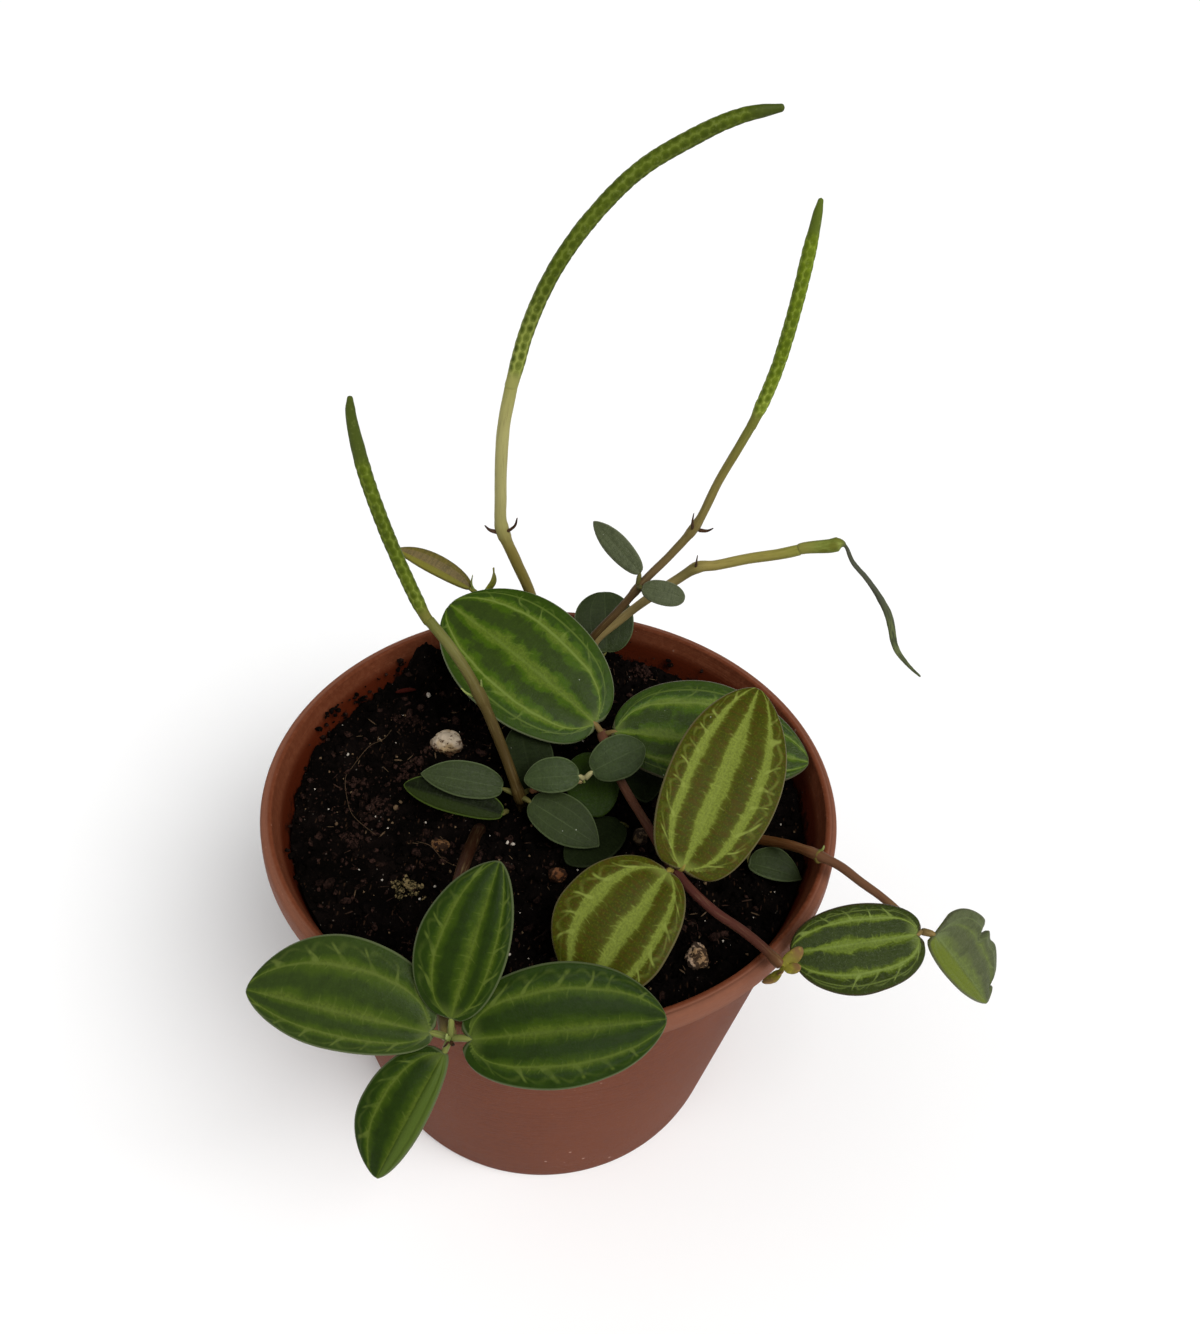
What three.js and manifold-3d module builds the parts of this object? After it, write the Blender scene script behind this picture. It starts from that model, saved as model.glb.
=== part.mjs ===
// A potted peperomia: a tapered nursery pot, dark peat with a few mineral grains, leafy stems that
// trail over the rim, and upright stems that end in long flower spikes.
// Millimetres, +Z up. The origin is the centre of the pot's underside.

import * as THREE from "three";
import { mergeVertices } from "three/addons/utils/BufferGeometryUtils.js";
import Module from "manifold-3d";

const wasm = await Module();
wasm.setup();

// Pot
const potHeight = 88;
const rimRadius = 60;
const rimInnerRadius = 57.8;
const lipRadius = 60.4;
const lipHeight = 4.6;
const wallTopRadius = 57;
const baseRadius = 44;
const wallThickness = 1.2;
const floorThickness = 1.6;
const potSides = 40;
const drainHoleCount = 6;
const drainHoleRadius = 4;
const drainCircleRadius = 31;

// Soil
const gap = 0.3; // clearance kept between neighbouring pieces
const soilLevel = 76.4;
const wallSlope = (wallTopRadius - baseRadius) / (potHeight - lipHeight);
const soilRadius = baseRadius - wallThickness - gap + wallSlope * (soilLevel - floorThickness);
const soilCells = 34; // the surface is a square net of this many cells each way
const heap = { at: [-35.6, 43.2], rise: 6.5, spread: 4.5 }; // peat piled against the wall
const holeClearance = 0.45;

// Leaves and stems
const bladeThickness = 0.8;
const tipHalf = 0.3; // half width left at the very tip
const bladeFold = THREE.MathUtils.degToRad(8); // each half rises this much from the midrib
const bladeCurl = 0.12; // share of the half width that its edge drops again
const petioleRadius = 0.75;
const tubeSides = 6;
const tubeStep = 4; // length of one straight piece of a stem

// Spikes
const floretPitch = 1.5; // distance from one ring of florets to the next
const floretSides = 10;
const floretRelief = 0.11; // share of the radius that a floret stands out
const spikeFullShare = 0.8;
const spikeTipRadius = 0.35;

const colours = {
  pot: 0x864a3a,
  soil: 0x16100c,
  pumice: 0xb8a894,
  brownGrain: 0x7a5538,
  redStem: 0x7a4536,
  oliveStem: 0x83793a,
  spike: 0x62802a,
  witheredSpike: 0x6b7a3a,
  stripedLeaf: 0x3c5e1e,
  oliveLeaf: 0x5c5a1e,
  plainLeaf: 0x3f4f3a,
  brownLeaf: 0x7d6d46,
};

const group = new THREE.Group();

function degrees(angle) {
  return THREE.MathUtils.degToRad(angle);
}

function finish(colour, roughness) {
  return new THREE.MeshStandardMaterial({ color: colour, roughness, metalness: 0 });
}

function place(name, geometry, colour, roughness = 0.6) {
  const mesh = new THREE.Mesh(geometry, finish(colour, roughness));
  mesh.name = name;
  group.add(mesh);
}

// Solids

function solid(geometry) {
  const bare = geometry.clone();
  bare.deleteAttribute("normal");
  bare.deleteAttribute("uv");
  const merged = mergeVertices(bare, 1e-4);
  return new wasm.Manifold(
    new wasm.Mesh({
      numProp: 3,
      vertProperties: new Float32Array(merged.attributes.position.array),
      triVerts: new Uint32Array(merged.index.array),
    }),
  );
}

function geometryOf(body) {
  const mesh = body.getMesh();
  const geometry = new THREE.BufferGeometry();
  geometry.setAttribute("position", new THREE.BufferAttribute(mesh.vertProperties, 3));
  geometry.setIndex(new THREE.BufferAttribute(mesh.triVerts, 1));
  return geometry;
}

function union(bodies) {
  return bodies.reduce((sum, body) => sum.add(body));
}

// A round bar bent along a smooth curve. radiusAt gives its radius from 0 (start) to 1 (end);
// reliefAt, if given, scales it for one ring and one side.
function bar(points, radiusAt, { step = tubeStep, sides = tubeSides, reliefAt = null } = {}) {
  const curve = new THREE.CatmullRomCurve3(points.map((p) => new THREE.Vector3(...p)));
  const rings = Math.max(2, Math.round(curve.getLength() / step));
  const frames = curve.computeFrenetFrames(rings);
  const geometry = new THREE.CylinderGeometry(1, 1, 1, sides, rings);
  geometry.deleteAttribute("normal");
  geometry.deleteAttribute("uv");
  const spots = geometry.getAttribute("position");
  const at = new THREE.Vector3();
  for (let i = 0; i < spots.count; i += 1) {
    at.fromBufferAttribute(spots, i);
    const share = at.y + 0.5;
    const ring = Math.round(share * rings);
    const side = Math.round((Math.atan2(at.z, at.x) / (2 * Math.PI)) * sides);
    const relief = reliefAt ? reliefAt(ring, side, rings) : 1;
    const radius = radiusAt(share) * relief;
    const spot = curve.getPointAt(Math.min(1, Math.max(0, share)));
    spot.addScaledVector(frames.normals[ring], at.z * radius);
    spot.addScaledVector(frames.binormals[ring], at.x * radius);
    spots.setXYZ(i, spot.x, spot.y, spot.z);
  }
  return geometry;
}

function taper(from, to) {
  return (share) => from + (to - from) * share;
}

// Pot

function potProfile() {
  const lipBottom = potHeight - lipHeight;
  return [
    [0, 0],
    [baseRadius - 0.8, 0],
    [baseRadius, 0.8],
    [wallTopRadius, lipBottom - 0.4],
    [lipRadius - 0.5, lipBottom],
    [lipRadius, lipBottom + 0.5],
    [rimRadius + 0.2, potHeight - 0.6],
    [rimRadius - 0.4, potHeight],
    [rimInnerRadius + 0.3, potHeight],
    [rimInnerRadius, potHeight - 0.4],
    [rimInnerRadius - 1.2, potHeight - 3.4],
    [wallTopRadius - wallThickness, lipBottom - 1.6],
    [baseRadius - wallThickness, floorThickness],
    [0, floorThickness],
  ];
}

function lathe(profile, sides) {
  const points = profile.map(([radius, height]) => new THREE.Vector2(radius, height));
  return new THREE.LatheGeometry(points, sides).rotateX(Math.PI / 2);
}

function upright(radius, bottom, top, x, y, sides) {
  const post = new THREE.CylinderGeometry(radius, radius, top - bottom, sides).rotateX(Math.PI / 2);
  return post.translate(x, y, (top + bottom) / 2);
}

function makePot() {
  let body = solid(lathe(potProfile(), potSides));
  for (let i = 0; i < drainHoleCount; i += 1) {
    const angle = degrees(30 + (360 / drainHoleCount) * i);
    const x = drainCircleRadius * Math.cos(angle);
    const y = drainCircleRadius * Math.sin(angle);
    body = body.subtract(solid(upright(drainHoleRadius, -1, floorThickness + 1, x, y, 16)));
  }
  place("pot", geometryOf(body), colours.pot, 0.5);
}

// Grains, each a worn lump pressed a little into the soil

const grains = [
  { name: "grain_pumice", at: [-25.7, 17.8, 79], size: [3.8, 3.2, 2.8], colour: colours.pumice },
  { name: "grain_porous", at: [30.8, -36, 79], size: [2.2, 2.9, 2.4], colour: colours.pumice },
  { name: "grain_brown_left", at: [-23, -12, 77.6], size: [2.2, 1.8, 1.5], colour: colours.brownGrain },
  { name: "grain_orange_front", at: [2.5, -17.5, 77.6], size: [2, 1.7, 1.7], colour: colours.brownGrain },
  { name: "grain_tan_right", at: [19.5, -5.5, 77.8], size: [1.6, 2.1, 1.7], colour: colours.brownGrain },
];

function makeGrain({ at, size }, grow = 0) {
  const lump = new THREE.IcosahedronGeometry(1, 1);
  const spots = lump.getAttribute("position");
  const spot = new THREE.Vector3();
  for (let i = 0; i < spots.count; i += 1) {
    spot.fromBufferAttribute(spots, i);
    const wear = 1 + 0.09 * Math.sin(5 * spot.x + 3 * spot.y) * Math.cos(4 * spot.z + at[0]);
    spots.setXYZ(i, spot.x * wear, spot.y * wear, spot.z * wear);
  }
  return lump.scale(size[0] + grow, size[1] + grow, size[2] + grow).translate(...at);
}

// Stems: points from the foot to the end; bracts are the tiny hooked ones at a node

const stems = [
  {
    name: "stem_left",
    colour: colours.oliveStem,
    points: [[-6.5, 1.5, 72], [-7, 0.5, 80], [-7, -2, 84], [-11.5, 3, 94], [-17, 8, 104.5],
      [-22.5, 12, 111.5], [-28.2, 14.9, 117.5]],
    radii: [1.15, 1.15],
    bracts: [
      { at: [-16.2, 7.4, 103.4], to: [-14.6, 6.6, 107.4] },
      { at: [-16.4, 7.4, 103.4], to: [-20.2, 7, 105.6] },
    ],
  },
  {
    name: "stem_tall",
    colour: colours.oliveStem,
    points: [[-2, 42, 72], [-3, 41, 84], [-5.5, 40, 94], [-9.4, 41.4, 107], [-12.4, 40, 116],
      [-15.6, 40, 124.8], [-15.8, 40.6, 132], [-15.7, 41, 139.5], [-15.2, 42, 148], [-13.6, 43.2, 157.2]],
    radii: [1.2, 1.2],
    bracts: [
      { at: [-15, 40, 124], to: [-18.6, 39.4, 125.2] },
      { at: [-15, 40, 124], to: [-12.6, 39.6, 127] },
    ],
  },
  {
    name: "stem_right",
    colour: colours.oliveStem,
    points: [[1, 37, 72], [1.2, 36.5, 84], [2.4, 36.4, 91.5], [6, 37, 98], [12, 39, 105.5],
      [17.3, 41, 112.8], [22.7, 43, 119], [27.5, 44, 126.5], [31.2, 46, 136.5], [34.4, 47, 144],
      [36.9, 48, 149.8]],
    radii: [1.15, 1.1],
    bracts: [
      { at: [27, 43.8, 125.6], to: [26.9, 43, 129.4] },
      { at: [27.4, 44, 125.8], to: [30.4, 43, 126] },
    ],
  },
  {
    name: "stem_withered",
    colour: colours.oliveStem,
    points: [[5, 41, 72], [5, 41, 84], [6.6, 41, 93.5], [12.4, 43, 99.4], [17.4, 44, 104.2],
      [24.9, 45, 110.7], [29.2, 45, 114.4], [33, 45, 115.2], [40.1, 45, 117.1], [47.2, 44, 120.5],
      [52, 43.6, 122.4]],
    radii: [1.15, 1.05],
    bracts: [{ at: [29, 45, 114.2], to: [29.2, 44.6, 117.4] }],
  },
  {
    name: "stem_runner",
    colour: colours.redStem,
    points: [[12, 20, 72], [12, 18, 82], [9.8, 12.5, 90], [14.3, 1.5, 87.6], [20.5, -13.6, 89.6],
      [25, -26, 92.6], [28, -30.6, 92.8], [32.8, -35.6, 92.6], [37.2, -38.6, 92.2],
      [40.6, -41.2, 91.8], [43.6, -44.6, 91.4]],
    radii: [1, 0.9],
    bracts: [
      { at: [43.2, -44.2, 91.8], to: [46.2, -44.4, 93.2], wide: 0.75 },
      { at: [43.2, -44.2, 91.6], to: [43, -47.4, 91.4], wide: 0.75 },
    ],
  },
  {
    name: "stem_outer_right",
    colour: colours.redStem,
    points: [[37, -2, 72], [39, -4, 78], [45.5, -10.1, 84.5], [50.2, -15.2, 89], [54, -19.4, 91.6],
      [57.5, -21.9, 92], [61.1, -25.5, 92], [64.1, -28.3, 92], [66.2, -30.7, 92], [70.6, -35.6, 91.4]],
    radii: [1.25, 0.75],
    bracts: [],
  },
  {
    name: "stem_front",
    colour: colours.redStem,
    points: [[-15, -3, 72], [-15.3, -6, 77], [-15.6, -14, 81.6], [-15.8, -24, 86.4], [-15.8, -36, 90],
      [-15.4, -47, 91], [-14.8, -56, 91], [-13, -61.6, 91.6], [-11.8, -64.2, 92.4]],
    radii: [1.35, 1.2],
    bracts: [
      { at: [-11.8, -64.2, 92], to: [-13.4, -65.6, 94.6], wide: 0.6 },
      { at: [-11.8, -64.2, 92], to: [-10.2, -66, 94.2], wide: 0.6 },
    ],
  },
  {
    name: "stem_rear_shoot",
    colour: colours.oliveStem,
    points: [[-17, 40, 72], [-18, 42.5, 82], [-20.5, 45, 93], [-22, 46, 101.6]],
    radii: [1, 0.8],
    bracts: [
      { at: [-22, 46, 101], to: [-18.4, 45.6, 106.6], wide: 0.7 },
      { at: [-22, 46, 101], to: [-23.2, 46, 105] },
    ],
  },
  {
    name: "stem_side_shoot",
    colour: colours.redStem,
    points: [[-5, -0.6, 84], [-3, -0.6, 85.4], [1.2, -0.6, 87.8], [6.6, -1, 89.4]],
    radii: [0.75, 0.7],
    bracts: [{ at: [6.4, -1, 89.2], to: [6.8, -2.8, 90.6] }],
  },
];

function makeStem({ name, colour, points, radii, bracts }) {
  const bodies = [solid(bar(points, taper(...radii)))];
  for (const { at, to, wide = 0.4 } of bracts) {
    bodies.push(solid(bar([at, middle(at, to), to], taper(wide, 0.3), { step: 1.5, sides: 5 })));
  }
  place(name, geometryOf(union(bodies)), colour, 0.5);
}

function middle(a, b) {
  return a.map((value, i) => (value + b[i]) / 2);
}

// Spikes: rings of florets, every other one raised, in a diamond pattern

const spikes = [
  {
    name: "spike_left",
    points: [[-28.6, 15, 118], [-32.2, 16.6, 126], [-36.5, 19, 136.8], [-39.9, 21, 148.4],
      [-41.4, 22, 158.3], [-41.2, 22, 162]],
    radii: [1.35, 0.8],
  },
  {
    name: "spike_tall",
    points: [[-13.5, 43.3, 157.6], [-10.7, 46, 167.7], [-6.2, 48, 178], [0.1, 50, 187.3],
      [9, 52, 196.5], [18.8, 53.4, 202.6], [26.6, 54.4, 206.2], [34.4, 55, 208]],
    radii: [1.42, 1.05],
  },
  {
    name: "spike_right",
    points: [[37, 48, 150.2], [40.1, 50, 160.4], [42.2, 52, 174.3], [43.4, 54, 187.7],
      [43.8, 55, 193.2]],
    radii: [1.3, 0.8],
  },
];

function floretPattern(ring, side, rings) {
  const bare = ring < 1 || ring > rings - 3;
  return bare ? 1 : 1 + floretRelief * Math.cos(Math.PI * (ring + side));
}

// Full along most of its length, then drawn in towards a rounded tip.
function spikeRadius([from, to]) {
  return (share) => {
    const waist = from + (to - from) * Math.max(0, (share - spikeFullShare) / (1 - spikeFullShare));
    return share > 0.995 ? spikeTipRadius : waist;
  };
}

function makeSpike({ name, points, radii }) {
  const shape = { step: floretPitch, sides: floretSides, reliefAt: floretPattern };
  place(name, bar(points, spikeRadius(radii), shape), colours.spike, 0.55);
}

// The withered spike: a swollen green end, then a dried thread that hangs from it.
const withered = {
  points: [[52.4, 43.5, 122.6], [57.4, 43, 123.8], [60.4, 42.8, 124.6], [62.9, 41, 121.3],
    [66.4, 39, 118.4], [69.4, 37, 115.4], [71.9, 34, 112.2], [74.5, 31, 105.7], [77.6, 29, 102.7],
    [80.5, 27, 101.1]],
  foot: 1.15,
  swollen: 1.4,
  swollenShare: 0.2, // of the whole length
  drawnIn: 8, // radius lost over the length that follows, until the thread begins
  thread: 0.5,
  threadMiddle: 0.9,
};

function witheredRadius(share) {
  const { foot, swollen, swollenShare, drawnIn, thread, threadMiddle } = withered;
  if (share < swollenShare) return foot + (swollen - foot) * (share / swollenShare);
  const along = (share - swollenShare) / (1 - swollenShare);
  return Math.max(thread + (threadMiddle - thread) * Math.sin(Math.PI * along), swollen - drawnIn * along);
}

function makeWitheredSpike() {
  const geometry = bar(withered.points, witheredRadius, { step: 1.8 });
  place("spike_withered", geometry, colours.witheredSpike, 0.7);
}

// Leaves

// Heading and rise give the direction from base to tip; roll turns the face about that line, and a
// positive roll lifts the left half. left and right are the half widths and widest is where along
// the blade they lie. heel and point round the base and the tip, foot is the share of the width at
// the very base, lobe how far the base sweeps back, and clear the petiole's distance from its stem.
const stripedShape = {
  heel: 2, point: 1.5, foot: 0.3, lobe: 1, arch: 2, clear: 2.1, lengthSteps: 8, widthSteps: 3,
};
const plainShape = {
  heel: 2.2, point: 1.5, foot: 0.1, lobe: 0.2, arch: 1, clear: 2, lengthSteps: 7, widthSteps: 2,
};

const stripedLeaves = [
  { name: "leaf_rear_striped", node: [10, 12.5, 90], base: [8, 13.4, 92.4], heading: 148, rise: 18,
    roll: -22, length: 43.5, left: 14.6, right: 15.8, widest: 0.5, point: 1.7, foot: 0.2,
    colour: colours.stripedLeaf },
  { name: "leaf_right_rear_striped", node: [10, 12.5, 90], base: [12.4, 11.6, 92], heading: -2,
    rise: -5, roll: 24, length: 43.5, left: 14.8, right: 10.4, widest: 0.44, foot: 0.1, lobe: 0.6,
    colour: colours.stripedLeaf },
  { name: "leaf_right_olive", node: [25, -26, 92.6], base: [26.4, -27.4, 94.2], heading: 67,
    rise: 26, roll: 18, length: 40.5, left: 10.6, right: 12, widest: 0.48, heel: 2.4, foot: 0.25,
    lobe: 0.5, colour: colours.oliveLeaf },
  { name: "leaf_lower_olive", node: [25, -26, 92.6], base: [23.8, -28, 94.2], heading: -126,
    rise: -27, roll: -14, length: 28, left: 9, right: 14, widest: 0.54, foot: 0.15, lobe: 0.2,
    colour: colours.oliveLeaf },
  { name: "leaf_outer_striped", node: [70.6, -35.6, 91.4], base: [69.4, -37.4, 92.8], heading: -171,
    rise: -8, roll: -34, length: 23.5, left: 9, right: 7, widest: 0.5, point: 2, arch: 1.2,
    colour: colours.stripedLeaf },
  { name: "leaf_outer_torn", node: [70.6, -35.6, 91.4], base: [73, -36.2, 91.6], heading: -18,
    rise: -42, roll: 31, length: 18.2, left: 8.8, right: 3.4, widest: 0.32, heel: 2.6, point: 1.25,
    lobe: 0.2, arch: 0.8, colour: colours.plainLeaf },
  { name: "leaf_front_left", node: [-11.8, -64.2, 92.4], base: [-15, -64, 93.4], heading: 172,
    rise: 3, roll: -35, length: 31.5, left: 6, right: 12.2, widest: 0.5, foot: 0.15, lobe: 0.6,
    arch: 1.4, colour: colours.stripedLeaf },
  { name: "leaf_front_right", node: [-11.8, -64.2, 92.4], base: [-8.4, -64.6, 93.2], heading: 11,
    rise: 0, roll: 35, length: 32.5, left: 11, right: 9, widest: 0.46, foot: 0.25, lobe: 1.4,
    arch: 1.4, colour: colours.stripedLeaf },
  { name: "leaf_front_up", node: [-11.8, -64.2, 92.4], base: [-11.8, -62.6, 95.4], heading: 72,
    rise: 44, roll: 12, length: 26.5, left: 9.4, right: 6, widest: 0.42, foot: 0.1, lobe: 0,
    arch: 1.2, colour: colours.stripedLeaf },
  { name: "leaf_front_down", node: [-11.8, -64.2, 92.4], base: [-12.6, -65.6, 90.6], heading: -123,
    rise: -41, roll: -17, length: 22.6, left: 3, right: 8.4, widest: 0.5, foot: 0.1, lobe: 0,
    colour: colours.stripedLeaf },
];

const plainLeaves = [
  { name: "leaf_left_low", node: [-9.6, -2, 79], base: [-10.4, -4.6, 80.8], heading: 174, rise: 12,
    roll: -38, length: 22, left: 3, right: 4.5, widest: 0.55 },
  { name: "leaf_left_upper", node: [-7, -2, 84], base: [-10.8, -1.2, 85.2], heading: -179, rise: 10,
    roll: -34, length: 17.6, left: 3.6, right: 4.4, widest: 0.45, clear: 2.4 },
  { name: "leaf_centre_low", node: [-7, -2, 84], base: [-4.4, -3.9, 84.4], heading: -27, rise: -12,
    roll: 26, length: 17.4, left: 5.8, right: 4.6, widest: 0.45, arch: 0.6 },
  { name: "leaf_centre_rear", node: [-7, -2, 84], base: [-4.4, 2.2, 82.2], heading: 113, rise: 39,
    roll: -8, length: 14.5, left: 5, right: 6, widest: 0.5, clear: 2.3 },
  { name: "leaf_centre_bright", node: [12, 18.4, 80], base: [8.2, 11.6, 85], heading: -84, rise: -15,
    roll: 0, length: 16, left: 5.4, right: 6.8, widest: 0.46, point: 1.9, clear: 2.8 },
  { name: "leaf_on_soil", node: [17, -1.4, 75.6], base: [15, -3, 79], heading: -133, rise: -3,
    roll: -6, length: 16, left: 5.4, right: 4.8, widest: 0.55, arch: 0.6, clear: 1.6 },
  { name: "leaf_under_right", node: [12, 18, 81], base: [18, 13, 82.6], heading: -80, rise: -4,
    roll: -6, length: 12.5, left: 4.6, right: 4.6, widest: 0.5 },
  { name: "leaf_pair_left", node: [6.6, -1, 89.4], base: [5.4, -1.4, 90.8], heading: -173, rise: -5,
    roll: -35, length: 11.6, left: 3.4, right: 4.4, widest: 0.45, clear: 1.3 },
  { name: "leaf_pair_right", node: [6.6, -1, 89.4], base: [8.2, 0, 91], heading: 28, rise: 14,
    roll: 32, length: 12.6, left: 5, right: 4.6, widest: 0.5, clear: 1.3 },
  { name: "leaf_outer_right_small", node: [42, -7, 81], base: [41.8, -14.2, 81.6], heading: -9,
    rise: -9, roll: 24, length: 11, left: 4.8, right: 2.2, widest: 0.5, clear: 2.4 },
  { name: "leaf_rear_round", node: [5, 41, 84], base: [9.6, 45, 87.4], heading: 98, rise: 40,
    roll: -3, length: 15.4, left: 7.7, right: 7.1, widest: 0.52, heel: 2.4, point: 2, clear: 2.6 },
  { name: "leaf_right_stem_upper", node: [15.6, 40.3, 110.8], base: [15.8, 40.6, 114.8],
    heading: 144, rise: 28, roll: -44, length: 16, left: 2.7, right: 2.9, widest: 0.48, point: 1.3,
    clear: 2.5 },
  { name: "leaf_right_stem_lower", node: [15.6, 40.3, 110.8], base: [16.6, 37.6, 112.6], heading: -2,
    rise: -11, roll: 44, length: 10, left: 2.8, right: 3, widest: 0.5, point: 2 },
  { name: "leaf_rear_left_brown", node: [-22, 46, 101.4], base: [-24, 46, 103.2], heading: 168,
    rise: 21, roll: -22, length: 19.6, left: 2, right: 3.6, widest: 0.5, point: 1.4, clear: 2.3,
    colour: colours.brownLeaf },
];

// Half width of the blade as a share of its greatest, from base (0) to tip (1).
function outline(share, { widest, heel, point, foot }) {
  if (share < widest) return foot + (1 - foot) * (1 - (1 - share / widest) ** 2) ** (1 / heel);
  return (1 - ((share - widest) / (1 - widest)) ** 2) ** (1 / point);
}

// How far the edge of the base sweeps back behind the point where the petiole joins.
function sweep(share, across, { lobe }) {
  return lobe * Math.sin(0.75 * Math.PI * Math.abs(across)) * (1 - share) ** 4;
}

function bladeFrame({ heading, rise, roll }) {
  const flat = Math.cos(degrees(rise));
  const along = new THREE.Vector3(
    Math.cos(degrees(heading)) * flat,
    Math.sin(degrees(heading)) * flat,
    Math.sin(degrees(rise)),
  );
  const side = new THREE.Vector3(0, 0, 1).cross(along).normalize().applyAxisAngle(along, degrees(roll));
  const up = along.clone().cross(side);
  return { along, side, up };
}

function bladePoint(leaf, { along, side, up }, share, across, lift) {
  const half = Math.max((across > 0 ? leaf.left : leaf.right) * outline(share, leaf), tipHalf);
  const reach = Math.abs(across) * half;
  const point = new THREE.Vector3(...leaf.base);
  point.addScaledVector(along, leaf.length * share - sweep(share, across, leaf));
  point.addScaledVector(side, Math.sign(across) * reach * Math.cos(bladeFold));
  const arch = leaf.arch * 4 * share * (1 - share);
  const cup = reach * Math.sin(bladeFold) - bladeCurl * half * across ** 2;
  return point.addScaledVector(up, arch + cup + lift);
}

// Both faces of the blade are split into triangles alike.
function makeBlade(leaf) {
  const frame = bladeFrame(leaf);
  const rows = leaf.lengthSteps;
  const columns = 2 * leaf.widthSteps;
  const positions = [];
  for (const lift of [bladeThickness / 2, -bladeThickness / 2]) {
    for (let i = 0; i <= rows; i += 1) {
      for (let j = 0; j <= columns; j += 1) {
        positions.push(...bladePoint(leaf, frame, i / rows, 1 - (2 * j) / columns, lift));
      }
    }
  }
  const faces = [];
  const perFace = (rows + 1) * (columns + 1);
  const spot = (i, j, face) => face * perFace + i * (columns + 1) + j;
  const quad = (a, b, c, d) => faces.push(a, b, c, a, c, d);
  for (let i = 0; i < rows; i += 1) {
    for (let j = 0; j < columns; j += 1) {
      faces.push(spot(i, j, 0), spot(i, j + 1, 0), spot(i + 1, j + 1, 0));
      faces.push(spot(i, j, 0), spot(i + 1, j + 1, 0), spot(i + 1, j, 0));
      faces.push(spot(i, j, 1), spot(i + 1, j + 1, 1), spot(i, j + 1, 1));
      faces.push(spot(i, j, 1), spot(i + 1, j, 1), spot(i + 1, j + 1, 1));
    }
    quad(spot(i, 0, 0), spot(i + 1, 0, 0), spot(i + 1, 0, 1), spot(i, 0, 1));
    quad(spot(i + 1, columns, 0), spot(i, columns, 0), spot(i, columns, 1), spot(i + 1, columns, 1));
  }
  for (let j = 0; j < columns; j += 1) {
    quad(spot(0, j + 1, 0), spot(0, j, 0), spot(0, j, 1), spot(0, j + 1, 1));
    quad(spot(rows, j, 0), spot(rows, j + 1, 0), spot(rows, j + 1, 1), spot(rows, j, 1));
  }
  const geometry = new THREE.BufferGeometry();
  geometry.setAttribute("position", new THREE.Float32BufferAttribute(positions, 3));
  geometry.setIndex(faces);
  return geometry;
}

// The petiole starts just clear of its stem and runs a little way into the blade.
function makePetiole(leaf) {
  const from = new THREE.Vector3(...leaf.node);
  const frame = bladeFrame(leaf);
  const base = bladePoint(leaf, frame, 0.02, 0, 0);
  const into = bladePoint(leaf, frame, 0.1, 0, 0);
  const start = from.addScaledVector(base.clone().sub(from).normalize(), leaf.clear);
  const points = [start.toArray(), base.toArray(), into.toArray()];
  return bar(points, taper(petioleRadius, petioleRadius * 0.8), { step: 1.6, sides: 6 });
}

function makeLeaf(leaf) {
  const body = union([solid(makeBlade(leaf)), solid(makePetiole(leaf))]);
  place(leaf.name, geometryOf(body), leaf.colour, 0.45);
}

// Soil, with plain holes for the stems and shallow seats for the grains

function soilHeight(x, y) {
  const reach = Math.hypot(x, y) / soilRadius;
  const edge = 2.4 * reach ** 3;
  const left = 3 * Math.max(0, -x / soilRadius - 0.45);
  const swells = 0.5 * Math.sin(0.31 * x + 1) * Math.cos(0.27 * y) + 0.4 * Math.sin(0.55 * y + 0.4 * x);
  const clods = 0.75 * Math.sin(0.64 * x - 0.36 * y + 2) * Math.sin(0.56 * y + 0.3 * x);
  const fromHeap = Math.hypot(x - heap.at[0], y - heap.at[1]) / heap.spread;
  return soilLevel + edge + left + swells + clods + heap.rise * Math.exp(-(fromHeap ** 2) / 2);
}

// The net's top face takes the soil's form, and what lies outside the pot's inside is cut away.
function soilShape() {
  const bottom = floorThickness + gap;
  const filled = potHeight - bottom;
  const bottomRadius = baseRadius - wallThickness - gap;
  const topRadius = bottomRadius + wallSlope * filled;
  const inside = new THREE.CylinderGeometry(topRadius, bottomRadius, filled, potSides);
  inside.rotateX(Math.PI / 2).translate(0, 0, bottom + filled / 2);
  const width = 2 * topRadius + 1;
  const net = new THREE.BoxGeometry(width, width, soilLevel, soilCells, soilCells, 1);
  const spots = net.getAttribute("position");
  for (let i = 0; i < spots.count; i += 1) {
    if (spots.getZ(i) > 0) spots.setZ(i, soilHeight(spots.getX(i), spots.getY(i)));
  }
  return solid(inside).intersect(solid(net));
}

function makeSoil() {
  let body = soilShape();
  for (const { points, radii } of stems) {
    const [[x, y, z], ...rest] = points;
    if (z > soilLevel) continue;
    const hole = [[x, y, z - gap], ...rest.slice(0, 3)];
    body = body.subtract(solid(bar(hole, taper(radii[0] + holeClearance, radii[0] + holeClearance))));
  }
  for (const grain of grains) body = body.subtract(solid(makeGrain(grain, gap)));
  place("soil", geometryOf(body), colours.soil, 0.95);
}

makePot();
makeSoil();
for (const grain of grains) place(grain.name, makeGrain(grain), grain.colour, 0.9);
stems.forEach(makeStem);
spikes.forEach(makeSpike);
makeWitheredSpike();
for (const leaf of stripedLeaves) makeLeaf({ ...stripedShape, ...leaf });
for (const leaf of plainLeaves) makeLeaf({ ...plainShape, colour: colours.plainLeaf, ...leaf });

export default group;
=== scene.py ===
# A potted peperomia with striped leaves and slender flower spikes, in a terracotta-coloured
# nursery pot. Shapes are worked out in millimetres and scaled to metres as each piece is finished.
# Colours are given as 0 to 255, the way a colour picker shows them.

import math
import random
from bisect import bisect_left
from functools import partialmethod

import bmesh
import bpy
from mathutils import Color, Matrix, Vector, noise
from mathutils.geometry import interpolate_bezier


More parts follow.
